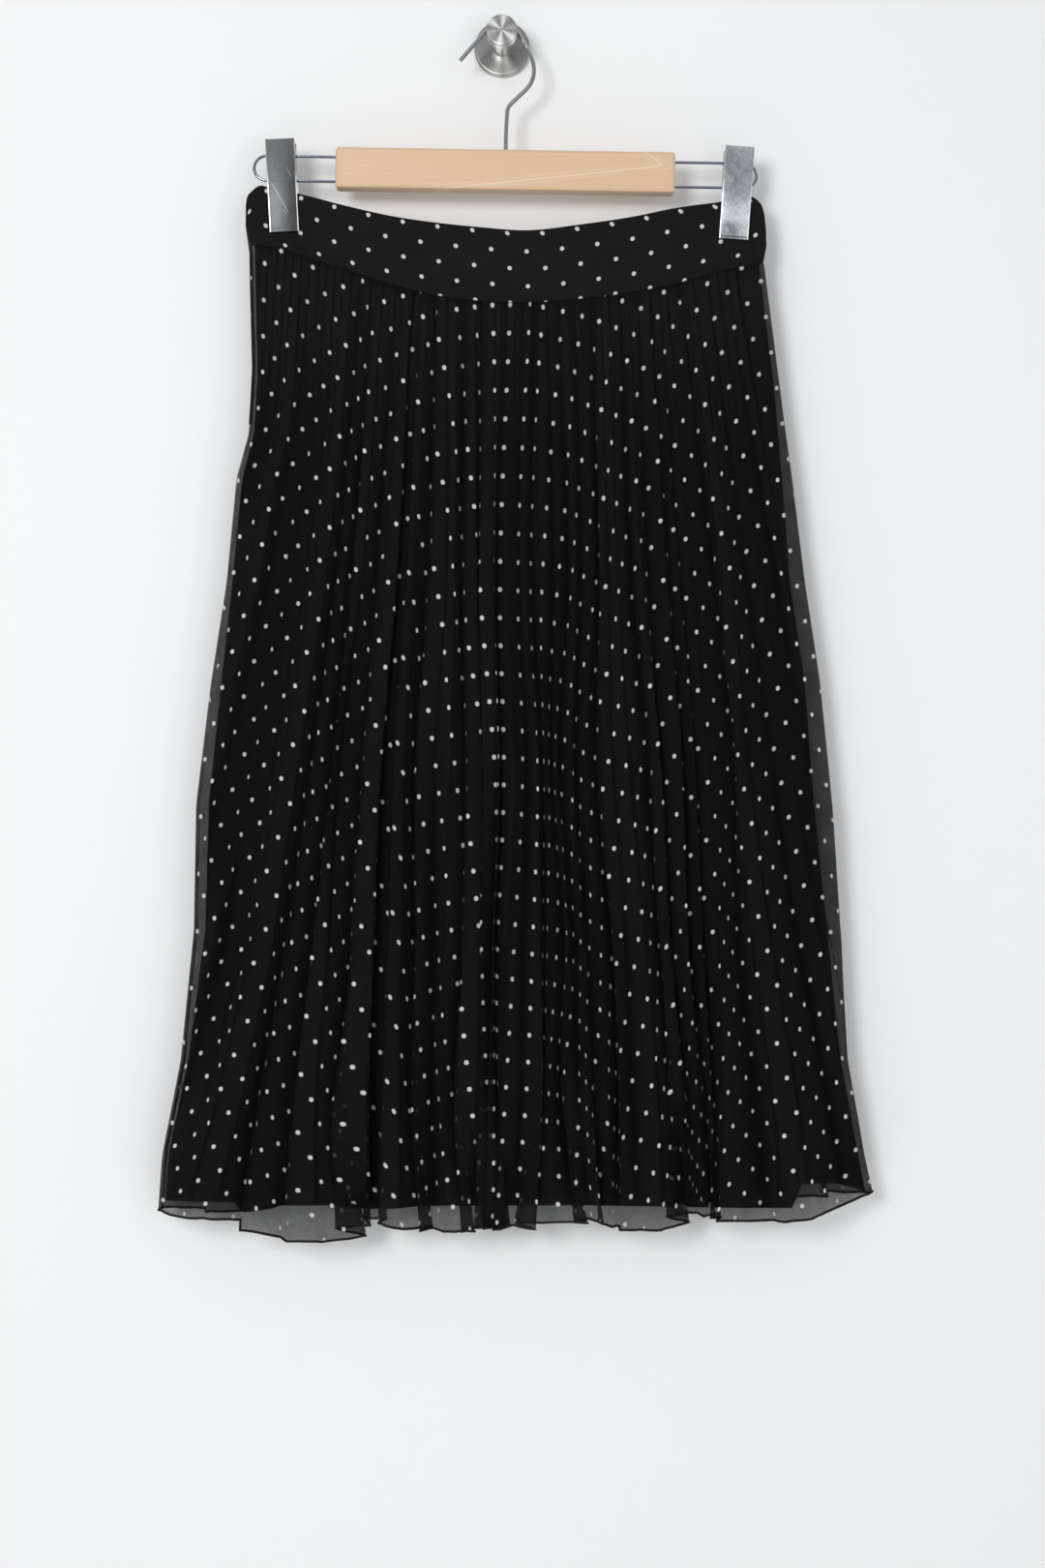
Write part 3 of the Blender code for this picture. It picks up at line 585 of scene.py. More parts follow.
def plated_sheet(name, x, z, lean, swirled, lit_right, painted_reflection_tones, scratches):
    """Worn zinc plate with painted reflections, highlights and shade, patterned in the frame of its own
    leaning jaw.
    """
    zinc = Finish(name)
    moved = zinc.vectors("SUBTRACT", zinc.place(), (x, HANG_Y, z))
    place = zinc.mapped(moved, turn=(0.0, -lean, 0.0))
    across, _, up = zinc.parts(place)
    stops = [(share, (tone * 0.95, tone, tone * 1.04)) for share, tone in painted_reflection_tones]
    # Painted reflection: the plate's tone changes from the lip to the top.
    painted_reflection_by_height = zinc.node("ShaderNodeValToRGB", 0, {"stops": stops}, {0: up * (1 / CLIP_HEIGHT)})
    cloudy = zinc.noise(place, 95.0, 4.0, 0.6, 1.5)
    swirl = zinc.noise(place, 260.0, 3.0, 0.6, 2.5)
    fine = zinc.noise(zinc.mapped(place, (2400.0, 400.0, 700.0)), 1.0, 3.0, 0.7)
    # Painted side light and shade: the right edge is lighter and the left edge darker.
    painted_side_light = across.step(-CLIP_WIDTH / 2, CLIP_WIDTH / 2, -lit_right, lit_right)
    tone = zinc.blend(painted_side_light.math("MAXIMUM", 0.0), painted_reflection_by_height, (0.60, 0.64, 0.68))
    tone = zinc.blend((0.0 - painted_side_light).math("MAXIMUM", 0.0), tone, (0.10, 0.11, 0.13))
    tone = zinc.blend(cloudy.step(0.42, 0.62) * swirled * 0.5, tone, (0.46, 0.50, 0.54))
    tone = zinc.blend(swirl.step(0.50, 0.58) * swirled * 0.5, tone, (0.12, 0.14, 0.16))
    tone = zinc.blend(fine.step(0.56, 0.70) * (0.10 + swirled * 0.2), tone, (0.50, 0.53, 0.55))
    marks = None
    for centre, height, degrees, length in scratches:
        turn = math.radians(degrees)
        dx, dz = across - centre, up - height
        aside = (dx * math.cos(turn) + dz * math.sin(turn)).math("ABSOLUTE")
        along = (dz * math.cos(turn) - dx * math.sin(turn)).math("ABSOLUTE")
        mark = aside.step(0.00022, 0.00005) * along.step(length / 2, length / 2 - 0.002)
        marks = mark if marks is None else marks.math("MAXIMUM", mark)
    tone = zinc.blend(marks * (0.25 + swirled * 0.4), tone, (0.55, 0.59, 0.62))
    # Painted shade: a dark line along the lip's bend.
    lip = (up - CLIP_LIP).math("ABSOLUTE").step(0.0007, 0.0003)
    tone = zinc.blend(lip * 0.8, tone, (0.06, 0.06, 0.06))
    # Painted highlight: the flanges are lighter, most of all low down.
    edge = across.math("ABSOLUTE").step(CLIP_WIDTH / 2 - 0.0009, CLIP_WIDTH / 2 - 0.0003)
    tone = zinc.blend(edge * up.step(0.045, 0.030, 0.25, 1.0), tone, (0.90, 0.92, 0.95))
    face = zinc.surface(
        base_color=tone,
        metallic=1.0,
        roughness=fine * 0.10 + 0.26 + cloudy * 0.08,
        normal=zinc.bump(fine * 0.5 + swirl * 0.3 - marks * 0.6 - lip, 0.00008, 0.4),
    )
    return zinc.show(face)


for side, x, z, lean, *look in CLIPS:
    plated = plated_sheet(f"zinc-plated {side} clip", x, z, lean, *look)
    for facing, way in (("front", -1), ("back", 1)):
        jaw = bent_jaw(f"jaw_{side}_{facing}", way, x, z, lean, plated)
        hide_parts(f"clip_{side}_{facing}")

# ---------------------------------------------------------------------------------------------
# Yoke: a shaped waistband in front and behind, of two layers of dotted black cloth that are fused
# and turned, and clipped shut by the jaws.
YOKE_INSIDE = 0.0044
YOKE_WALL = 0.0020
YOKE_CLOTH = 0.0012
YOKE_EDGE_WALL = 0.45
YOKE_EDGE_DOWN = 0.03
YOKE_DOWNS = np.concatenate(((0.0, 0.006, 0.02, 0.05), np.linspace(0.09, 0.95, 22), (0.98, 1.0)))
YOKE_ACROSSES = np.linspace(0.0, 1.0, 321)
YOKE_ACROSS, YOKE_TOP, YOKE_SEAM = np.array((
    # across, top edge z, seam z
    (0.000, -0.1134, -0.1483),
    (0.018, -0.1078, -0.1497),
    (0.040, -0.1086, -0.1515),
    (0.098, -0.1130, -0.1572),
    (0.178, -0.1213, -0.1671),
    (0.275, -0.1296, -0.1787),
    (0.372, -0.1348, -0.1871),
    (0.456, -0.1379, -0.1904),
    (0.547, -0.1401, -0.1912),
    (0.650, -0.1361, -0.1886),
    (0.761, -0.1301, -0.1829),
    (0.844, -0.1238, -0.1766),
    (0.924, -0.1190, -0.1680),
    (0.969, -0.1160, -0.1648),
    (0.990, -0.1150, -0.1629),
    (1.000, -0.1172, -0.1620),
)).T
YOKE_SIDE_DOWN, YOKE_LEFT, YOKE_RIGHT = np.array((
    # share of the way down, left edge x, right edge x
    (0.00, -0.1792, 0.1808),
    (0.10, -0.1808, 0.1846),
    (0.25, -0.1815, 0.1863),
    (0.50, -0.1815, 0.1875),
    (0.75, -0.1810, 0.1877),
    (1.00, -0.1785, 0.1856),
)).T
YOKE_CREASES = (
    # x at the top and at the seam, half its width, its height (a trough is negative), and the share
    # of the way down at which it starts
    (-0.1740, -0.1725, 0.0030, -0.0006, 0.10),
    (-0.1640, -0.1620, 0.0032, 0.0009, 0.62),
    (-0.1570, -0.1545, 0.0028, -0.0007, 0.66),
    (-0.1500, -0.1470, 0.0030, 0.0009, 0.70),
    (-0.1100, -0.1060, 0.0060, 0.0007, 0.45),
    (-0.0420, -0.0440, 0.0070, 0.0006, 0.50),
    (0.0640, 0.0620, 0.0070, 0.0006, 0.40),
    (0.1310, 0.1290, 0.0050, 0.0007, 0.55),
    (0.1560, 0.1540, 0.0030, 0.0008, 0.72),
    (0.1640, 0.1630, 0.0026, -0.0007, 0.74),
    (0.1785, 0.1790, 0.0024, -0.0007, 0.06),
)
# A crease has its full height after this share of its way to the seam.
CREASE_GROWTH = 0.35
# The clips press the two layers flat for this far to each side of their middle and this share of
# the way down. The cloth then opens again over the run beside them.
CLIP_REACH = 0.0138
YOKE_PINCHED_TO = 0.79
CLIP_PINCH_RUN = 0.050
SIDE_RUN = 0.025
PLAIN_GAP = 0.00015
ZIP_GAP = 0.0011
ZIP_FOOT = (-0.380, -0.302)
DOT_PITCH = 0.0177
DOT_RADIUS = 0.00155
DOT_BLUR = 0.00016
DOT_RAGGED = 0.0005
YOKE_DOTS_TURN = math.pi / 4
YOKE_DOTS_SHIFT = (0.0085, 0.0042, 0.0)
YOKE_DOTS_SCALE = 1.017


def smooth_interp(where, knots, values):
    """A Catmull-Rom curve through a table's knots, read at each place.

    A knot's value can also be a whole row, which is then read at one place.
    """
    where, knots, values = (np.asarray(numbers, float) for numbers in (where, knots, values))
    slopes = np.gradient(values, knots, axis=0)
    i = np.clip(np.searchsorted(knots, where, side="right") - 1, 0, len(knots) - 2)
    run = knots[i + 1] - knots[i]
    t = np.clip((where - knots[i]) / run, 0.0, 1.0)
    keep = values[i] * (1 + 2 * t) * (1 - t) ** 2 + values[i + 1] * t**2 * (3 - 2 * t)
    lean = run * (slopes[i] * t * (1 - t) ** 2 - slopes[i + 1] * t**2 * (1 - t))
    return keep + lean


def eased(share):
    """Rises fast and then ever more slowly, from 0 at 0 to 1 at 1 and beyond."""
    held = np.clip(share, 0.0, 1.0)
    return 1.0 - (1.0 - held) ** 2


def side_gap(z, across):
    """Half the gap between front and back at a side edge. The zip lies in the left one."""
    zipped = np.interp(z, ZIP_FOOT, (PLAIN_GAP, ZIP_GAP))
    return np.where(np.asarray(across) > 0.5, PLAIN_GAP, zipped)


def cloth_sheet(name, places, thickness, layers, finish, way):
    """A thin closed shell on a grid of places, rows from top to bottom, columns from left to right.

    The grid is the outer face. Each layer gives it two numbers at a place. Those of the layer
    called cloth are the place on the flat cut, in metres. Those of the layer called fold are how
    deep in a recess the place lies and how near it is to a crease, both from 0 to 1.
    """
    rows, columns, _ = places.shape
    down = np.gradient(places, axis=0)
    along = np.gradient(places, axis=1)
    normal = np.cross(down, along) * -way
    normal /= np.linalg.norm(normal, axis=2)[:, :, None] + 1e-12
    inner = places - normal * thickness
    vertices = np.concatenate((places.reshape(-1, 3), inner.reshape(-1, 3)))
    count = rows * columns
    index = np.arange(count).reshape(rows, columns)
    outer_faces = np.stack((index[:-1, :-1], index[1:, :-1], index[1:, 1:], index[:-1, 1:]), axis=2)
    outer_faces = outer_faces.reshape(-1, 4)
    faces = [outer_faces, outer_faces[:, ::-1] + count]
    for rim in (index[:, 0][::-1], index[:, -1], index[0, :], index[-1, ::-1]):
        faces.append(np.stack((rim[:-1], rim[1:], rim[1:] + count, rim[:-1] + count), axis=1))
    faces = np.concatenate(faces)
    if way > 0:
        faces = faces[:, ::-1]
    mesh = bpy.data.meshes.new(name)
    mesh.from_pydata(vertices.tolist(), [], faces.tolist())
    for label, numbers in layers.items():
        layer = mesh.uv_layers.new(name=label)
        flat = np.tile(numbers.reshape(-1, 2), (2, 1))
        layer.data.foreach_set("uv", flat[faces.ravel()].ravel())
    mesh.shade_smooth()
    return new_piece(name, mesh, finish)


def cloth_layer(finish, label):
    return finish.node("ShaderNodeUVMap", 0, {"uv_map": label})


def woven_dots(finish, flat):
    """A mask of round dots on a square lattice of the cut cloth."""
    middle = (0.5, 0.5, 0.0)
    cell = finish.mapped(flat, scale=(1 / DOT_PITCH,) * 3, shift=middle)
    around = finish.vectors("SUBTRACT", finish.vectors("FRACTION", cell), middle)
    ragged = finish.noise(flat, 1400.0, 2.0)
    distance = finish.vectors("LENGTH", around, out=1) * DOT_PITCH + (ragged - 0.5) * DOT_RAGGED
    return distance.step(DOT_RADIUS + DOT_BLUR, DOT_RADIUS - DOT_BLUR)


def yoke_rows(way):
    """The waistband's outer face in rows from its top edge to its seam, and its cut cloth."""
    top = smooth_interp(YOKE_ACROSSES, YOKE_ACROSS, YOKE_TOP)
    seam = smooth_interp(YOKE_ACROSSES, YOKE_ACROSS, YOKE_SEAM)
    top_x = YOKE_LEFT[0] + (YOKE_RIGHT[0] - YOKE_LEFT[0]) * YOKE_ACROSSES
    along = np.concatenate(((0.0,), np.cumsum(np.hypot(np.diff(top_x), np.diff(top)))))
    left_clip, right_clip = (row[1] for row in CLIPS)
    places, pattern = [], []
    for down in YOKE_DOWNS:
        left = np.interp(down, YOKE_SIDE_DOWN, YOKE_LEFT)
        right = np.interp(down, YOKE_SIDE_DOWN, YOKE_RIGHT)
        x = left + (right - left) * YOKE_ACROSSES
        z = top + (seam - top) * down
        gap = side_gap(z, YOKE_ACROSSES)
        between = np.minimum(x - (left_clip + CLIP_REACH), (right_clip - CLIP_REACH) - x)
        beyond_left = (left_clip - CLIP_REACH - x) / (left_clip - CLIP_REACH - left)
        beyond_right = (x - right_clip - CLIP_REACH) / (right - right_clip - CLIP_REACH)
        beyond = np.maximum(np.maximum(beyond_left, beyond_right), 0.0)
        pinched = PLAIN_GAP + (gap - PLAIN_GAP) * beyond
        pinched = pinched + (YOKE_INSIDE - PLAIN_GAP) * eased(between / CLIP_PINCH_RUN)
        from_sides = np.minimum(x - left, right - x)
        hanging = gap + (YOKE_INSIDE - gap) * eased(from_sides / SIDE_RUN)
        freed = max(0.0, (down - YOKE_PINCHED_TO) / (1.0 - YOKE_PINCHED_TO))
        inside = pinched + (hanging - pinched) * freed
        edge = math.sqrt(max(0.0, 1 - (1 - min(down / YOKE_EDGE_DOWN, 1.0)) ** 2))
        outside = inside + YOKE_WALL * (YOKE_EDGE_WALL + (1 - YOKE_EDGE_WALL) * edge)
        for top_x_at, seam_x_at, half_width, height, start in YOKE_CREASES:
            away = np.abs(x - top_x_at - (seam_x_at - top_x_at) * down) / half_width
            shape = np.clip(1.0 - away, 0.0, 1.0)
            grown = min(max((down - start) / (CREASE_GROWTH * (1.0 - start)), 0.0), 1.0)
            outside = outside + height * grown * shape**2 * (3 - 2 * shape)
        places.append(np.stack((x, HANG_Y + way * outside, z), axis=1))
        pattern.append(np.stack((along, (top - z)), axis=1))
    return np.array(places), np.array(pattern)


def yoke_cloth():
    cloth = Finish("dotted waistband cloth")
    flat = cloth_layer(cloth, "cloth")
    scale = (YOKE_DOTS_SCALE, YOKE_DOTS_SCALE, 1.0)
    turned_flat = cloth.mapped(flat, scale, (0.0, 0.0, YOKE_DOTS_TURN), YOKE_DOTS_SHIFT)
    dots = woven_dots(cloth, turned_flat)
    weave = cloth.noise(flat, 2600.0, 2.0)
    soft = cloth.noise(flat, 60.0, 3.0)
    black = cloth.blend(soft * 0.7 + weave * 0.3, (0.0058, 0.0058, 0.0061), (0.0112, 0.0112, 0.0117))
    face = cloth.surface(
        base_color=cloth.blend(dots, black, (0.52, 0.51, 0.48)),
        roughness=weave * 0.2 + 0.7,
        specular_ior_level=0.05,
        sheen_weight=0.01,
        sheen_roughness=0.5,
        normal=cloth.bump(weave + dots * 0.6, 0.0002, 0.6),
    )
    return cloth.show(face)


yoke_finish = yoke_cloth()
for node, way in (("yoke_front", -1), ("yoke_back", 1)):
    places, pattern = yoke_rows(way)
    yoke = cloth_sheet(f"waistband_{node[5:]}", places, YOKE_CLOTH, {"cloth": pattern}, yoke_finish, way)
    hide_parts(node)

# ---------------------------------------------------------------------------------------------
# Zip: a black concealed zip in the side seam at the left, closed to the top. Its metal teeth lie
# in the gap between the front and the back cloth.
TOOTH_SIZE = (0.0019, 0.0015, 0.0009)
TOOTH_PITCH = 0.0016
TOOTH_WORN = 0.0002
TOOTH_Z, TOOTH_X = np.array((
    # z, x
    (-0.3010, -0.1836),
    (-0.2830, -0.1787),
    (-0.2405, -0.1759),
    (-0.1620, -0.1779),
    (-0.1480, -0.1782),
    (-0.1400, -0.1806),
    (-0.1300, -0.1810),
    (-0.1190, -0.1800),
)).T
zip_tape = Finish("zip tape")
ribs = zip_tape.node(
    "ShaderNodeTexWave", "Fac", {"bands_direction": "Z"},
    {"Vector": zip_tape.place(), "Scale": 180.0, "Distortion": 0.4},
)
tape_face = zip_tape.surface(
    base_color=zip_tape.blend(ribs, (0.010, 0.010, 0.011), (0.030, 0.030, 0.031)),
    roughness=0.6,
    specular_ior_level=0.3,
    normal=zip_tape.bump(ribs, 0.0003, 0.8),
)
tape_finish = zip_tape.show(tape_face)
for slot in bpy.data.objects["side_zip"].material_slots:
    slot.material = tape_finish

tooth_metal = Finish("worn zip teeth")
tooth_wear = tooth_metal.noise(tooth_metal.place(), 700.0, 3.0)
tooth_face = tooth_metal.surface(
    base_color=tooth_metal.blend(tooth_wear.step(0.45, 0.62), (0.05, 0.05, 0.055), (0.42, 0.43, 0.45)),
    metallic=1.0,
    roughness=tooth_wear * 0.2 + 0.3,
    normal=tooth_metal.bump(tooth_wear, 0.0001, 0.4),
)
bpy.ops.object.select_all(action="DESELECT")
bpy.ops.mesh.primitive_cube_add(size=1.0, location=(0, 0, 0))
teeth = bpy.context.object
teeth.name = "zip_teeth"
teeth.scale = TOOTH_SIZE
bpy.ops.object.transform_apply(location=False, rotation=False, scale=True)
edges_worn = teeth.modifiers.new("worn edges", "BEVEL")
edges_worn.width = TOOTH_WORN
edges_worn.segments = 1
row = teeth.modifiers.new("row", "ARRAY")
row.use_relative_offset = False
row.use_constant_offset = True
row.constant_offset_displace = (0.0, 0.0, -TOOTH_PITCH)
row.count = int((TOOTH_Z[-1] - TOOTH_Z[0]) / TOOTH_PITCH)
for modifier in ("worn edges", "row"):
    bpy.ops.object.modifier_apply(modifier=modifier)
for corner in teeth.data.vertices:
    tooth_z = TOOTH_Z[-1] + round(corner.co.z / TOOTH_PITCH) * TOOTH_PITCH
    corner.co.z += TOOTH_Z[-1]
    corner.co.y += HANG_Y
    corner.co.x += float(np.interp(tooth_z, TOOTH_Z, TOOTH_X))
teeth.data.materials.append(tooth_metal.show(tooth_face))
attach(teeth, "root")

# ---------------------------------------------------------------------------------------------
# Lining: a plain black panel in front and behind, narrower and shorter than the chiffon over it.
SIDE_Z, CHIFFON_LEFT, CHIFFON_RIGHT, LINING_LEFT, LINING_RIGHT = np.array((
    # z, chiffon left x, chiffon right x, lining left x, lining right x
    (-0.8336, -0.2430, 0.2658, -0.2395, 0.2605),
    (-0.7950, -0.2402, 0.2574, -0.2365, 0.2530),
    (-0.7271, -0.2270, 0.2453, -0.2225, 0.2405),
    (-0.6350, -0.2178, 0.2404, -0.2105, 0.2310),
    (-0.5456, -0.2163, 0.2346, -0.2080, 0.2215),
    (-0.4584, -0.2058, 0.2258, -0.1990, 0.2150),
    (-0.3876, -0.1949, 0.2150, -0.1912, 0.2044),
    (-0.3147, -0.1880, 0.2061, -0.1842, 0.1990),
    (-0.2830, -0.1793, 0.2016, -0.1758, 0.1962),
    (-0.2405, -0.1765, 0.1961, -0.1732, 0.1922),
    (-0.1620, -0.1785, 0.1860, -0.1750, 0.1825),
    (-0.1483, -0.1785, 0.1855, -0.1750, 0.1820),
)).T
LINING_FRONT_HEM = (
    # across, hem z
    (0.000, -0.8275),
    (0.100, -0.8278),
    (0.112, -0.8353),
    (0.153, -0.8326),
    (0.165, -0.8302),
    (0.240, -0.8302),
    (0.281, -0.8326),
    (0.329, -0.8326),
    (0.364, -0.8305),
    (0.600, -0.8300),
    (0.816, -0.8319),
    (0.895, -0.8319),
    (0.910, -0.8127),
    (0.960, -0.8150),
    (1.000, -0.8208),
)
LINING_BACK_HEM = (
    (0.00, -0.820),
    (0.30, -0.826),
    (0.70, -0.824),
    (1.00, -0.814),
)
SEAM_UNDER = 0.0003
EDGE_WALL = 0.0006
LINING_THICKNESS = 0.0005
LINING_ROWS = 61
LINING_COLUMNS = 181
LINING_AT_SEAM = 0.00275
LINING_AT_HEM = 0.0040
LINING_WALL = 0.0008
LINING_SLACK = 0.0004
LINING_SIDE_RUN = 0.040


def yoke_seam(across):
    return smooth_interp(across, YOKE_ACROSS, YOKE_SEAM)


def side_edges(drops, feet, columns):
    """The x of a panel's left and right edge at each drop, from the z of their feet."""
    edges = []
    for across, foot, side_x in zip((0.0, 1.0), feet, columns):
        top = float(yoke_seam(across)) - SEAM_UNDER
        edges.append(np.interp(top + (foot - top) * drops, SIDE_Z, side_x))
    return edges


def lining_rows(way, hem_table):
    """A lining panel's outer face in rows from its seam to its hem, and its cut cloth."""
    drops = np.linspace(0.0, 1.0, LINING_ROWS)
    acrosses = np.linspace(0.0, 1.0, LINING_COLUMNS)
    hem_across, hem_z = np.array(hem_table).T
    hem = np.interp(acrosses, hem_across, hem_z)
    lefts, rights = side_edges(drops, (hem[0], hem[-1]), (LINING_LEFT, LINING_RIGHT))
    at_top = lefts[0] + (rights[0] - lefts[0]) * acrosses
    seam_share = (at_top - YOKE_LEFT[-1]) / (YOKE_RIGHT[-1] - YOKE_LEFT[-1])
    top = yoke_seam(seam_share) - SEAM_UNDER
    places, pattern = [], []
    for drop, left, right in zip(drops, lefts, rights):
        x = left + (right - left) * acrosses
        z = top + (hem - top) * drop
        gap = side_gap(z, acrosses)
        full = LINING_AT_SEAM + (LINING_AT_HEM - LINING_AT_SEAM) * drop + LINING_WALL
        from_sides = np.minimum(x - left, right - x)
        outside = gap + EDGE_WALL + (full - gap - LINING_SLACK) * eased(from_sides / LINING_SIDE_RUN)
        places.append(np.stack((x, HANG_Y + way * outside, z), axis=1))
        pattern.append(np.stack((x, z), axis=1))
    return np.array(places), np.array(pattern)


def lining_cloth():
    cloth = Finish("black lining")
    flat = cloth_layer(cloth, "cloth")
    weave = cloth.noise(flat, 3000.0, 2.0)
    soft = cloth.noise(flat, 25.0, 3.0)
    face = cloth.surface(
        base_color=cloth.blend(soft, (0.0035, 0.0035, 0.0038), (0.0060, 0.0060, 0.0064)),
        roughness=weave * 0.2 + 0.5,
        specular_ior_level=0.10,
        normal=cloth.bump(weave, 0.0001, 0.4),
    )
    return cloth.show(face)


lining_finish = lining_cloth()
for node, way, hem_table in (("lining_front", -1, LINING_FRONT_HEM), ("lining_back", 1, LINING_BACK_HEM)):
    places, pattern = lining_rows(way, hem_table)
    layers = {"cloth": pattern}
    lining = cloth_sheet(f"inner_{node[7:]}", places, LINING_THICKNESS, layers, lining_finish, way)
    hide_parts(node)

# ---------------------------------------------------------------------------------------------
# Skirt: a front and a back panel of sheer dotted chiffon, each a quarter ring pleated along lines
# from its centre. They're sewn to the yoke and edged with a narrow rolled hem. Some strips of the
# cloth lie flat to the front, and the rest are folded in between or lie behind them.
CHIFFON_THICKNESS = 0.0003
HEM_ROLL_RADIUS = 0.0009
HEM_WAVE = 0.00030
HEM_WAVE_GROWTH = 12
HEM_WAVES = (
    # radians per metre, share of the height, and share of the panel's seed that shifts it
    (410.0, 1.0, 1),
    (173.0, 1.0, 0),
    (960.0, 0.6, 0),
)
INSIDE_AT_SEAM = 0.0043
INSIDE_AT_HEM = 0.0066
ROOM_AT_SEAM = 0.0042
ROOM_AT_HEM = 0.0185
SEAM_RADIUS = 0.262
HEM_RADIUS = 0.890
BIAS_NARROWING = 0.95
LEFT_TURN = (-50.2, -36.5)
RIGHT_TURN = (48.4, 41.0)
LAST_STRIPS = "oo-o"
SIDE_STRIP_DEGREES = 1.35
# How much of its own width a strip spans: one that is turned in, and at most one that shows.
TURNED_IN_SHARE = -0.03
SHOWN_SHARE = 0.97
LEAN_FROM = 0.70
LEAN_CURVE = 1.5
LEAST_TURN = 0.02
CREASE_WANDER = 0.0004
FLATTEST_STRIP = 0.10
# Whether a strip folds back or forward is settled low on the panel, or high where the strip runs
# out into the side edge. It folds back from where less than this share of the room is taken.
LOW_ROW = 77
HIGH_ROW = 19
RUNS_OUT = 0.5
TURNS_BACK_AT = 0.45
ROOM_TAKEN = (0.86, 1.0)
EDGE_OUT = 0.0005
EDGE_ROOM = 0.25
EDGE_ROOM_RUN = 0.035
CREASE_SOFTENING = (0.22, 0.56, 0.22)
FOLD_DROPS = (0.0, 0.33, 0.50, 0.70, 0.88, 1.0)
FRONT_FOLDS = (
    # its strips between creases (o shows, - is turned in), degrees on the cut at the right edge,
    # x of that edge in mm at the six drops, its z at the hem in mm, how far the turned-in
    # creases lean sideways at the hem, and how far the creases inside the group lift there
    ("o-o-o-o-o-o-o-", -32.1, -99.5, -118.5, -133.5, -152.5, -172.5, -184.0, -838.0, 0, 0),
    ("--", -31.3, -97.0, -116.0, -131.0, -150.0, -170.5, -182.8, -843.6, 0, 0),
    ("o", -29.0, -92.0, -106.5, -118.5, -133.0, -148.0, -156.0, -851.0, 0, 0),
    ("-o", -26.9, -83.5, -100.0, -114.5, -122.0, -130.5, -129.0, -852.5, -5, 0),
    ("o", -24.5, -74.0, -90.5, -98.5, -107.0, -109.0, -95.5, -850.8, 0, 0),
    ("-o", -21.8, -63.5, -74.5, -84.0, -89.5, -92.5, -92.5, -843.0, -21, 2),
    ("-o-o", -17.7, -51.5, -61.5, -67.5, -69.5, -71.0, -69.5, -843.8, -5, 5),
    ("o", -16.0, -46.5, -53.5, -60.0, -60.0, -58.5, -48.5, -844.4, 0, 0),
    ("-o", -12.8, -38.5, -39.5, -47.0, -48.5, -49.0, -48.0, -844.4, -8, 0),
    ("o", -11.3, -31.5, -33.0, -35.5, -41.0, -41.5, -40.0, -844.4, 0, 0),
    ("o", -9.9, -27.0, -28.0, -25.5, -28.0, -28.5, -18.5, -844.4, 0, 0),
    ("-o", -7.5, -18.5, -16.5, -13.0, -14.0, -16.5, -17.5, -844.4, -9, 0),
    ("--o--o", 0.95, 10.0, 6.0, 10.0, 4.0, -2.0, -6.0, -843.1, 18, 1),
    ("oo", 3.7, 20.0, 18.0, 25.5, 27.5, 29.0, 24.0, -843.1, 0, 0),
    ("--", 6.4, 25.0, 26.5, 31.5, 32.5, 31.5, 25.5, -838.4, -16, 0),
    ("o", 8.5, 32.5, 36.0, 35.5, 44.0, 43.0, 60.5, -839.0, 0, 0),
    ("--", 10.5, 40.0, 46.0, 41.0, 50.0, 55.0, 61.5, -836.5, -10, 0),
    ("o", 12.5, 47.5, 52.0, 49.5, 56.5, 62.0, 71.5, -839.0, 0, 0),
    ("--", 14.5, 55.0, 59.5, 55.5, 66.0, 75.5, 78.0, -841.7, -6, 0),
    ("o", 16.8, 63.0, 69.0, 66.5, 78.5, 83.0, 83.0, -844.1, 0, 0),
    ("-o", 18.8, 70.0, 76.0, 78.5, 88.0, 92.5, 96.5, -844.4, 0, 0),
    ("o", 20.5, 75.5, 82.5, 89.5, 101.5, 110.5, 112.0, -843.5, 0, 0),
    ("o", 22.8, 83.5, 93.0, 103.5, 111.5, 124.0, 132.5, -841.0, 0, 0),
    ("-o", 24.3, 89.5, 101.0, 112.0, 119.0, 129.0, 134.0, -834.0, -16, 0),
    ("-o", 28.0, 104.0, 118.0, 126.5, 131.0, 138.5, 141.0, -833.5, 4, 0),
    ("-o-o", 32.0, 116.0, 135.0, 145.5, 152.0, 153.0, 150.0, -837.0, 9, 0),
    ("o", 35.0, 125.5, 151.5, 164.0, 167.0, 179.5, 188.0, -839.7, 0, 0),
    ("-o", 37.5, 134.5, 163.5, 173.0, 189.0, 208.0, 218.0, -835.6, -3, 0),
    ("o", 40.0, 145.5, 173.0, 189.0, 207.0, 230.0, 241.5, -828.2, 0, 0),
)
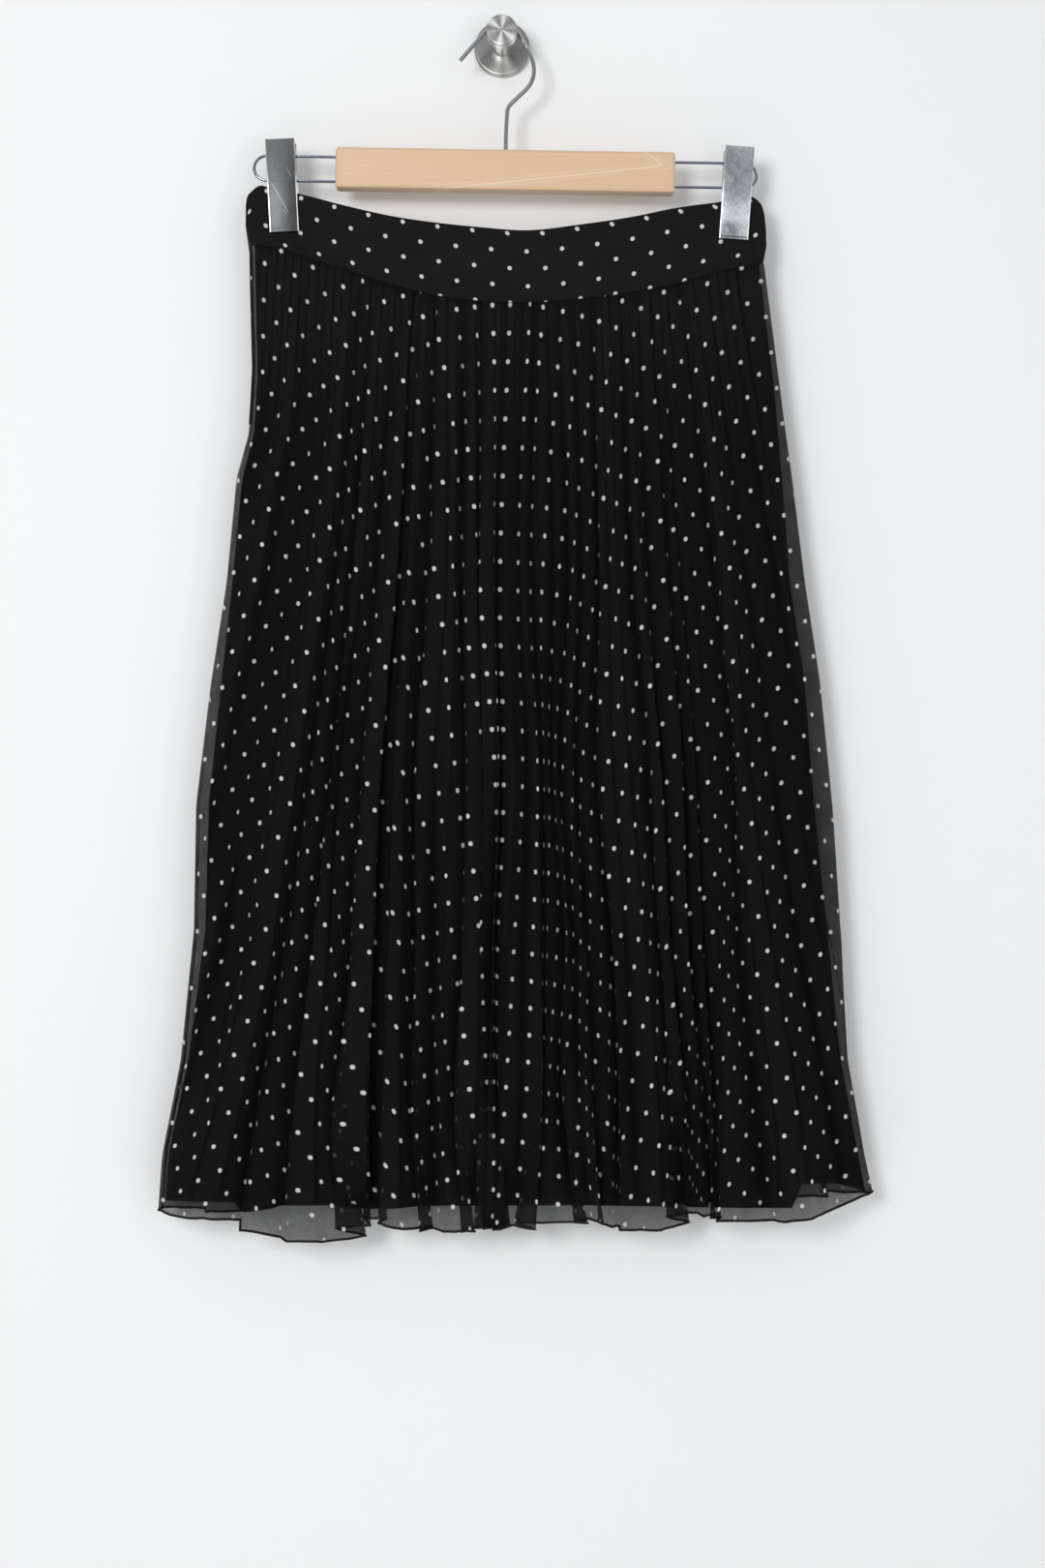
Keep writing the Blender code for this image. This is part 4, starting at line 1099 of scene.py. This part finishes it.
BACK_FOLDS = (
    # the same columns
    ("o-o-o-o-o-o-", -32.0, -104.5, -128.0, -143.5, -167.0, -197.0, -211.5, -838.0, 0, 0),
    ("o", -29.4, -96.5, -112.5, -124.5, -139.0, -164.0, -175.0, -838.0, 0, 0),
    ("-o", -26.4, -85.0, -103.5, -115.0, -132.5, -158.0, -169.5, -836.0, 0, 0),
    ("o", -24.5, -77.5, -90.5, -98.5, -113.0, -133.5, -141.0, -831.0, 0, 0),
    ("--", -21.1, -67.0, -81.0, -91.0, -108.5, -131.0, -138.5, -830.0, 6, 0),
    ("o", -18.2, -54.5, -60.5, -66.5, -73.0, -90.5, -95.5, -832.0, 0, 0),
    ("-o", -15.8, -48.0, -56.5, -62.0, -70.0, -87.0, -96.0, -829.0, 0, 0),
    ("-o--", -10.6, -30.0, -41.0, -51.0, -60.5, -75.0, -81.5, -831.0, -9, 0),
    ("o", -7.5, -17.5, -18.5, -19.5, -23.0, -34.0, -40.0, -828.0, 0, 0),
    ("--", -4.7, -6.0, -7.0, -9.0, -15.0, -21.5, -23.5, -830.0, 0, 0),
    ("o", -3.0, -1.0, 2.5, 0.5, -3.0, -8.0, -9.5, -831.0, 0, 0),
    ("-o", 0.6, 10.5, 7.0, 6.0, 1.5, -2.0, -4.0, -833.0, 8, 0),
    ("o", 3.3, 22.0, 31.5, 34.0, 34.0, 27.0, 27.5, -829.0, 0, 0),
    ("--", 5.9, 30.0, 35.0, 39.0, 42.0, 38.5, 40.0, -830.0, 0, 0),
    ("--o-", 10.9, 45.5, 46.0, 44.5, 42.5, 41.0, 43.5, -832.0, 0, 0),
    ("o", 14.1, 59.5, 73.0, 78.5, 83.5, 87.5, 90.0, -831.0, 0, 0),
    ("-o", 17.1, 69.5, 81.5, 88.5, 92.5, 92.0, 98.5, -828.0, 0, 0),
    ("o", 19.2, 78.0, 95.5, 106.5, 115.5, 124.0, 134.5, -830.0, 0, 0),
    ("--", 22.5, 89.0, 104.0, 110.0, 119.0, 128.5, 135.0, -831.0, -8, 0),
    ("o", 25.1, 99.5, 123.5, 135.5, 146.5, 155.5, 164.5, -829.0, 0, 0),
    ("-o--", 29.9, 115.0, 135.0, 147.0, 156.0, 167.0, 175.0, -828.0, 0, 0),
    ("-o", 32.5, 124.0, 144.5, 154.5, 165.5, 177.0, 184.5, -829.0, 7, 0),
    ("o", 35.5, 136.0, 165.5, 183.5, 201.5, 218.0, 226.5, -827.0, 0, 0),
    ("--", 38.4, 145.0, 170.5, 184.0, 201.5, 220.5, 231.0, -826.0, 4, 0),
)
FRONT_HEM_ENDS = (-0.8334, -0.8210)
BACK_HEM_ENDS = (-0.8340, -0.8220)
CUT_DROPS = (0.0, 0.33, 0.66, 1.0)
CUT_RADII = (
    # degrees from the cut's middle, and the radius at the four drops
    (-50, 0.2780, 0.4985, 0.7180, 0.9400),
    (-45, 0.2740, 0.4965, 0.7160, 0.9390),
    (-35, 0.2675, 0.4865, 0.7040, 0.9305),
    (-25, 0.2640, 0.4735, 0.6845, 0.9080),
    (-15, 0.2640, 0.4600, 0.6580, 0.8640),
    (-5, 0.2635, 0.4535, 0.6500, 0.8615),
    (5, 0.2650, 0.4525, 0.6450, 0.8500),
    (15, 0.2635, 0.4550, 0.6490, 0.8510),
    (25, 0.2655, 0.4645, 0.6690, 0.8800),
    (35, 0.2670, 0.4780, 0.6930, 0.9175),
    (45, 0.2745, 0.4900, 0.7060, 0.9270),
    (50, 0.2775, 0.4925, 0.7080, 0.9280),
)
FACET_STEPS = (0.0, 0.08, 0.34, 0.66, 0.92)
CLOTH_ROWS = 97


def cloth_between(turns, drops):
    """The width of cloth between neighbouring creases at each drop."""
    radius = SEAM_RADIUS + (HEM_RADIUS - SEAM_RADIUS) * drops
    return radius[:, None] * np.radians(np.diff(turns, axis=1)) * BIAS_NARROWING


def crease_lines(folds, hem_ends, drops, left, right, chance):
    """Every crease of a panel, from its left edge to its right edge.

    It gives the creases' x and their turn on the cut at each drop, and their z at the hem.
    """
    strips = [row[0] for row in folds] + [LAST_STRIPS]
    edges = [left] + [smooth_interp(drops, FOLD_DROPS, row[2:8]) / 1000 for row in folds] + [right]
    turns = [LEFT_TURN[0] + (LEFT_TURN[1] - LEFT_TURN[0]) * drops]
    turns += [np.full(CLOTH_ROWS, row[1]) for row in folds]
    turns += [RIGHT_TURN[0] + (RIGHT_TURN[1] - RIGHT_TURN[0]) * drops]
    feet = [hem_ends[0]] + [row[8] / 1000 for row in folds] + [hem_ends[1]]
    leans = [row[9] / 1000 for row in folds] + [0.0]
    lifts = [row[10] / 1000 for row in folds] + [0.0]
    leaning = np.clip((drops - LEAN_FROM) / (1.0 - LEAN_FROM), 0.0, 1.0) ** LEAN_CURVE
    x_line, turn, foot = [left], [turns[0]], [feet[0]]
    for g, group in enumerate(strips):
        count = len(group)
        shares = np.arange(1, count) / count
        creases = turns[g][:, None] + (turns[g + 1] - turns[g])[:, None] * shares
        if g == 0:
            fixed = folds[0][1] - SIDE_STRIP_DEGREES * np.arange(count - 1, 0, -1)
            creases = np.maximum(fixed, turns[0][:, None] + LEAST_TURN * np.arange(1, count))
        if g == len(folds):
            fixed = folds[-1][1] + SIDE_STRIP_DEGREES * np.arange(1, count)
            creases = np.minimum(fixed, turns[-1][:, None] - LEAST_TURN * np.arange(count - 1, 0, -1))
        creases = np.column_stack((turns[g], creases, turns[g + 1]))
        cloth = cloth_between(creases, drops)
        shown = np.array([kind == "o" for kind in group])
        advance = edges[g + 1] - edges[g]
        seen, turned_in = cloth[:, shown].sum(axis=1), cloth[:, ~shown].sum(axis=1)
        if 0 < shown.sum() < count:
            spread = np.minimum((advance - TURNED_IN_SHARE * turned_in) / seen, SHOWN_SHARE)
            spread = np.maximum(spread, advance / (seen + turned_in))
            folded = (advance - seen * spread) / turned_in
        else:
            spread = folded = advance / (seen + turned_in)
        x = edges[g].copy()
        for k in range(count):
            x = x + cloth[:, k] * (spread if shown[k] else folded)
            hidden = k + 1 < count and k % 2 == 0
            wander = chance.normal(0.0, CREASE_WANDER) * (k + 1 < count)
            x_line.append(x + wander * drops + (leans[g] * leaning if hidden else 0.0))
            turn.append(creases[:, k + 1])
            share = (x[-1] - edges[g][-1]) / advance[-1] if g in (0, len(folds)) else (k + 1) / count
            foot.append(feet[g] + (feet[g + 1] - feet[g]) * share + lifts[g] * (k + 1 < count))
    return np.array(x_line).T, np.array(turn).T, np.array(foot)


def fold_depths(x_line, width, room, chance):
    """How far behind the foremost folds each crease lies, so that the cloth beside it fits in."""
    fall = np.sqrt(np.maximum(width**2 - np.diff(x_line, axis=1) ** 2, (FLATTEST_STRIP * width) ** 2))
    behind = np.zeros_like(x_line)
    for c in range(1, x_line.shape[1]):
        row = LOW_ROW if width[LOW_ROW, c - 1] > RUNS_OUT * width[0, c - 1] else HIGH_ROW
        going_back = behind[row, c - 1] < TURNS_BACK_AT * room[row]
        step = fall[:, c - 1] if going_back else -fall[:, c - 1]
        behind[:, c] = np.clip(behind[:, c - 1] + step, 0.0, room * chance.uniform(*ROOM_TAKEN))
    return behind


def pleated_rows(way, folds, hem_ends, seed):
    """A pleated panel's outer face in rows from its seam to its hem, its cut cloth and its folds."""
    chance = np.random.default_rng(seed)
    drops = np.linspace(0.0, 1.0, CLOTH_ROWS)
    left, right = side_edges(drops, hem_ends, (CHIFFON_LEFT, CHIFFON_RIGHT))
    x_line, turn, foot = crease_lines(folds, hem_ends, drops, left, right, chance)
    room = ROOM_AT_SEAM + (ROOM_AT_HEM - ROOM_AT_SEAM) * drops
    behind = fold_depths(x_line, cloth_between(turn, drops), room, chance)
    share_line = (x_line - left[:, None]) / (right - left)[:, None]
    top = yoke_seam(share_line[0]) - SEAM_UNDER
    z_line = top + (foot - top) * drops[:, None]
    from_sides = np.maximum(np.minimum(x_line - left[:, None], right[:, None] - x_line), 0.0)
    full = (INSIDE_AT_SEAM + (INSIDE_AT_HEM - INSIDE_AT_SEAM) * drops)[:, None]
    gap = side_gap(z_line, np.clip(share_line, 0.0, 1.0))
    valley = gap + EDGE_WALL + (full - gap) * eased(from_sides / SIDE_RUN)
    roomy = EDGE_ROOM + (1 - EDGE_ROOM) * eased(from_sides / EDGE_ROOM_RUN)
    out = valley + (room[:, None] - behind) * roomy
    out[:, 0] = valley[:, 0] + EDGE_OUT
    out[:, -1] = valley[:, -1] + EDGE_OUT
    index = np.arange(x_line.shape[1])
    u = np.array([i + t for i in index[:-1] for t in FACET_STEPS] + [index[-1]])
    near_crease = np.abs(u % 1.0 - 0.5) * 2
    cut_at, *cut_columns = np.array(CUT_RADII).T
    places, pattern, fold = [], [], []
    for r, drop in enumerate(drops):
        x = np.interp(u, index, x_line[r])
        y = np.interp(u, index, out[r])
        y = np.convolve(np.pad(y, 1, mode="edge"), CREASE_SOFTENING, mode="valid")
        wave = sum(share * np.sin(x * turns + seed * shift) for turns, share, shift in HEM_WAVES)
        z = np.interp(u, index, z_line[r]) + HEM_WAVE * drop**HEM_WAVE_GROWTH * wave
        phi = np.radians(np.interp(u, index, turn[r]))
        at_drops = [np.interp(np.degrees(phi), cut_at, column) for column in cut_columns]
        distance = smooth_interp(drop, CUT_DROPS, at_drops)
        recess = np.interp(u, index, behind[r] / room[r])
        places.append(np.stack((x, HANG_Y + way * y, z), axis=1))
        pattern.append(np.stack((distance * np.sin(phi), distance * np.cos(phi)), axis=1))
        fold.append(np.stack((recess, near_crease), axis=1))
    return np.array(places), np.array(pattern), np.array(fold)


def sheer_chiffon():
    chiffon = Finish("dotted chiffon")
    flat = cloth_layer(chiffon, "cloth")
    dots = woven_dots(chiffon, flat)
    recess, crease, _ = chiffon.parts(cloth_layer(chiffon, "fold"))
    _, _, height = chiffon.parts(chiffon.place())
    weave = chiffon.noise(flat, 2400.0, 2.0, 0.6)
    crinkle = chiffon.noise(flat, 350.0, 3.0)
    crush = chiffon.noise(flat, 70.0, 3.0)
    black = chiffon.blend(weave, (0.0074, 0.0074, 0.0078), (0.0090, 0.0090, 0.0096))
    # Painted shade: the cloth is darker the deeper it lies in a recess between folds.
    black = chiffon.blend(recess.step(0.10, 1.0), black, (0.0040, 0.0040, 0.0042))
    black = chiffon.blend(height.step(-0.31, -0.17), black, (0.0112, 0.0112, 0.0117))
    # Painted shade: the cloth is near-black along the creases.
    black = chiffon.blend(crease.step(0.72, 1.0) * 0.75, black, (0.0008, 0.0008, 0.0009))
    # The printed dots, painted dimmer deep in the recesses as painted shade.
    print_and_painted_shade = chiffon.blend(recess.step(0.40, 1.0), (0.52, 0.51, 0.48), (0.36, 0.355, 0.335))
    sheer = 0.465 + (crinkle - 0.5) * 0.12 + (crush - 0.5) * 0.14
    face = chiffon.surface(
        base_color=chiffon.blend(dots, black, print_and_painted_shade),
        roughness=weave * 0.2 + 0.7,
        specular_ior_level=0.06,
        sheen_weight=0.02,
        sheen_roughness=0.4,
        alpha=(dots + sheer).math("MINIMUM", 1.0),
        normal=chiffon.bump(weave * 0.1 + crinkle * 0.8 - crease.step(0.8, 1.0), 0.0002, 0.35),
    )
    return chiffon.show(face)


def hem_thread():
    thread = Finish("rolled hem")
    place = thread.place()
    twist = thread.noise(place, 1200.0, 2.0)
    face = thread.surface(
        base_color=thread.blend(twist, (0.006, 0.006, 0.007), (0.020, 0.020, 0.021)),
        roughness=0.8,
        specular_ior_level=0.1,
        normal=thread.bump(twist, 0.0002, 0.6),
    )
    return thread.show(face)


chiffon_finish = sheer_chiffon()
hem_finish = hem_thread()
for node, way, folds, hem_ends, seed in (
    ("skirt_front", -1, FRONT_FOLDS, FRONT_HEM_ENDS, 5),
    ("skirt_back", 1, BACK_FOLDS, BACK_HEM_ENDS, 11),
):
    places, pattern, fold = pleated_rows(way, folds, hem_ends, seed)
    layers = {"cloth": pattern, "fold": fold}
    panel = cloth_sheet(f"chiffon_{node[6:]}", places, CHIFFON_THICKNESS, layers, chiffon_finish, way)
    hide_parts(node)
    roll = drawn_wire(f"hem_roll_{node[6:]}", places[-1], HEM_ROLL_RADIUS, 1, hem_finish)
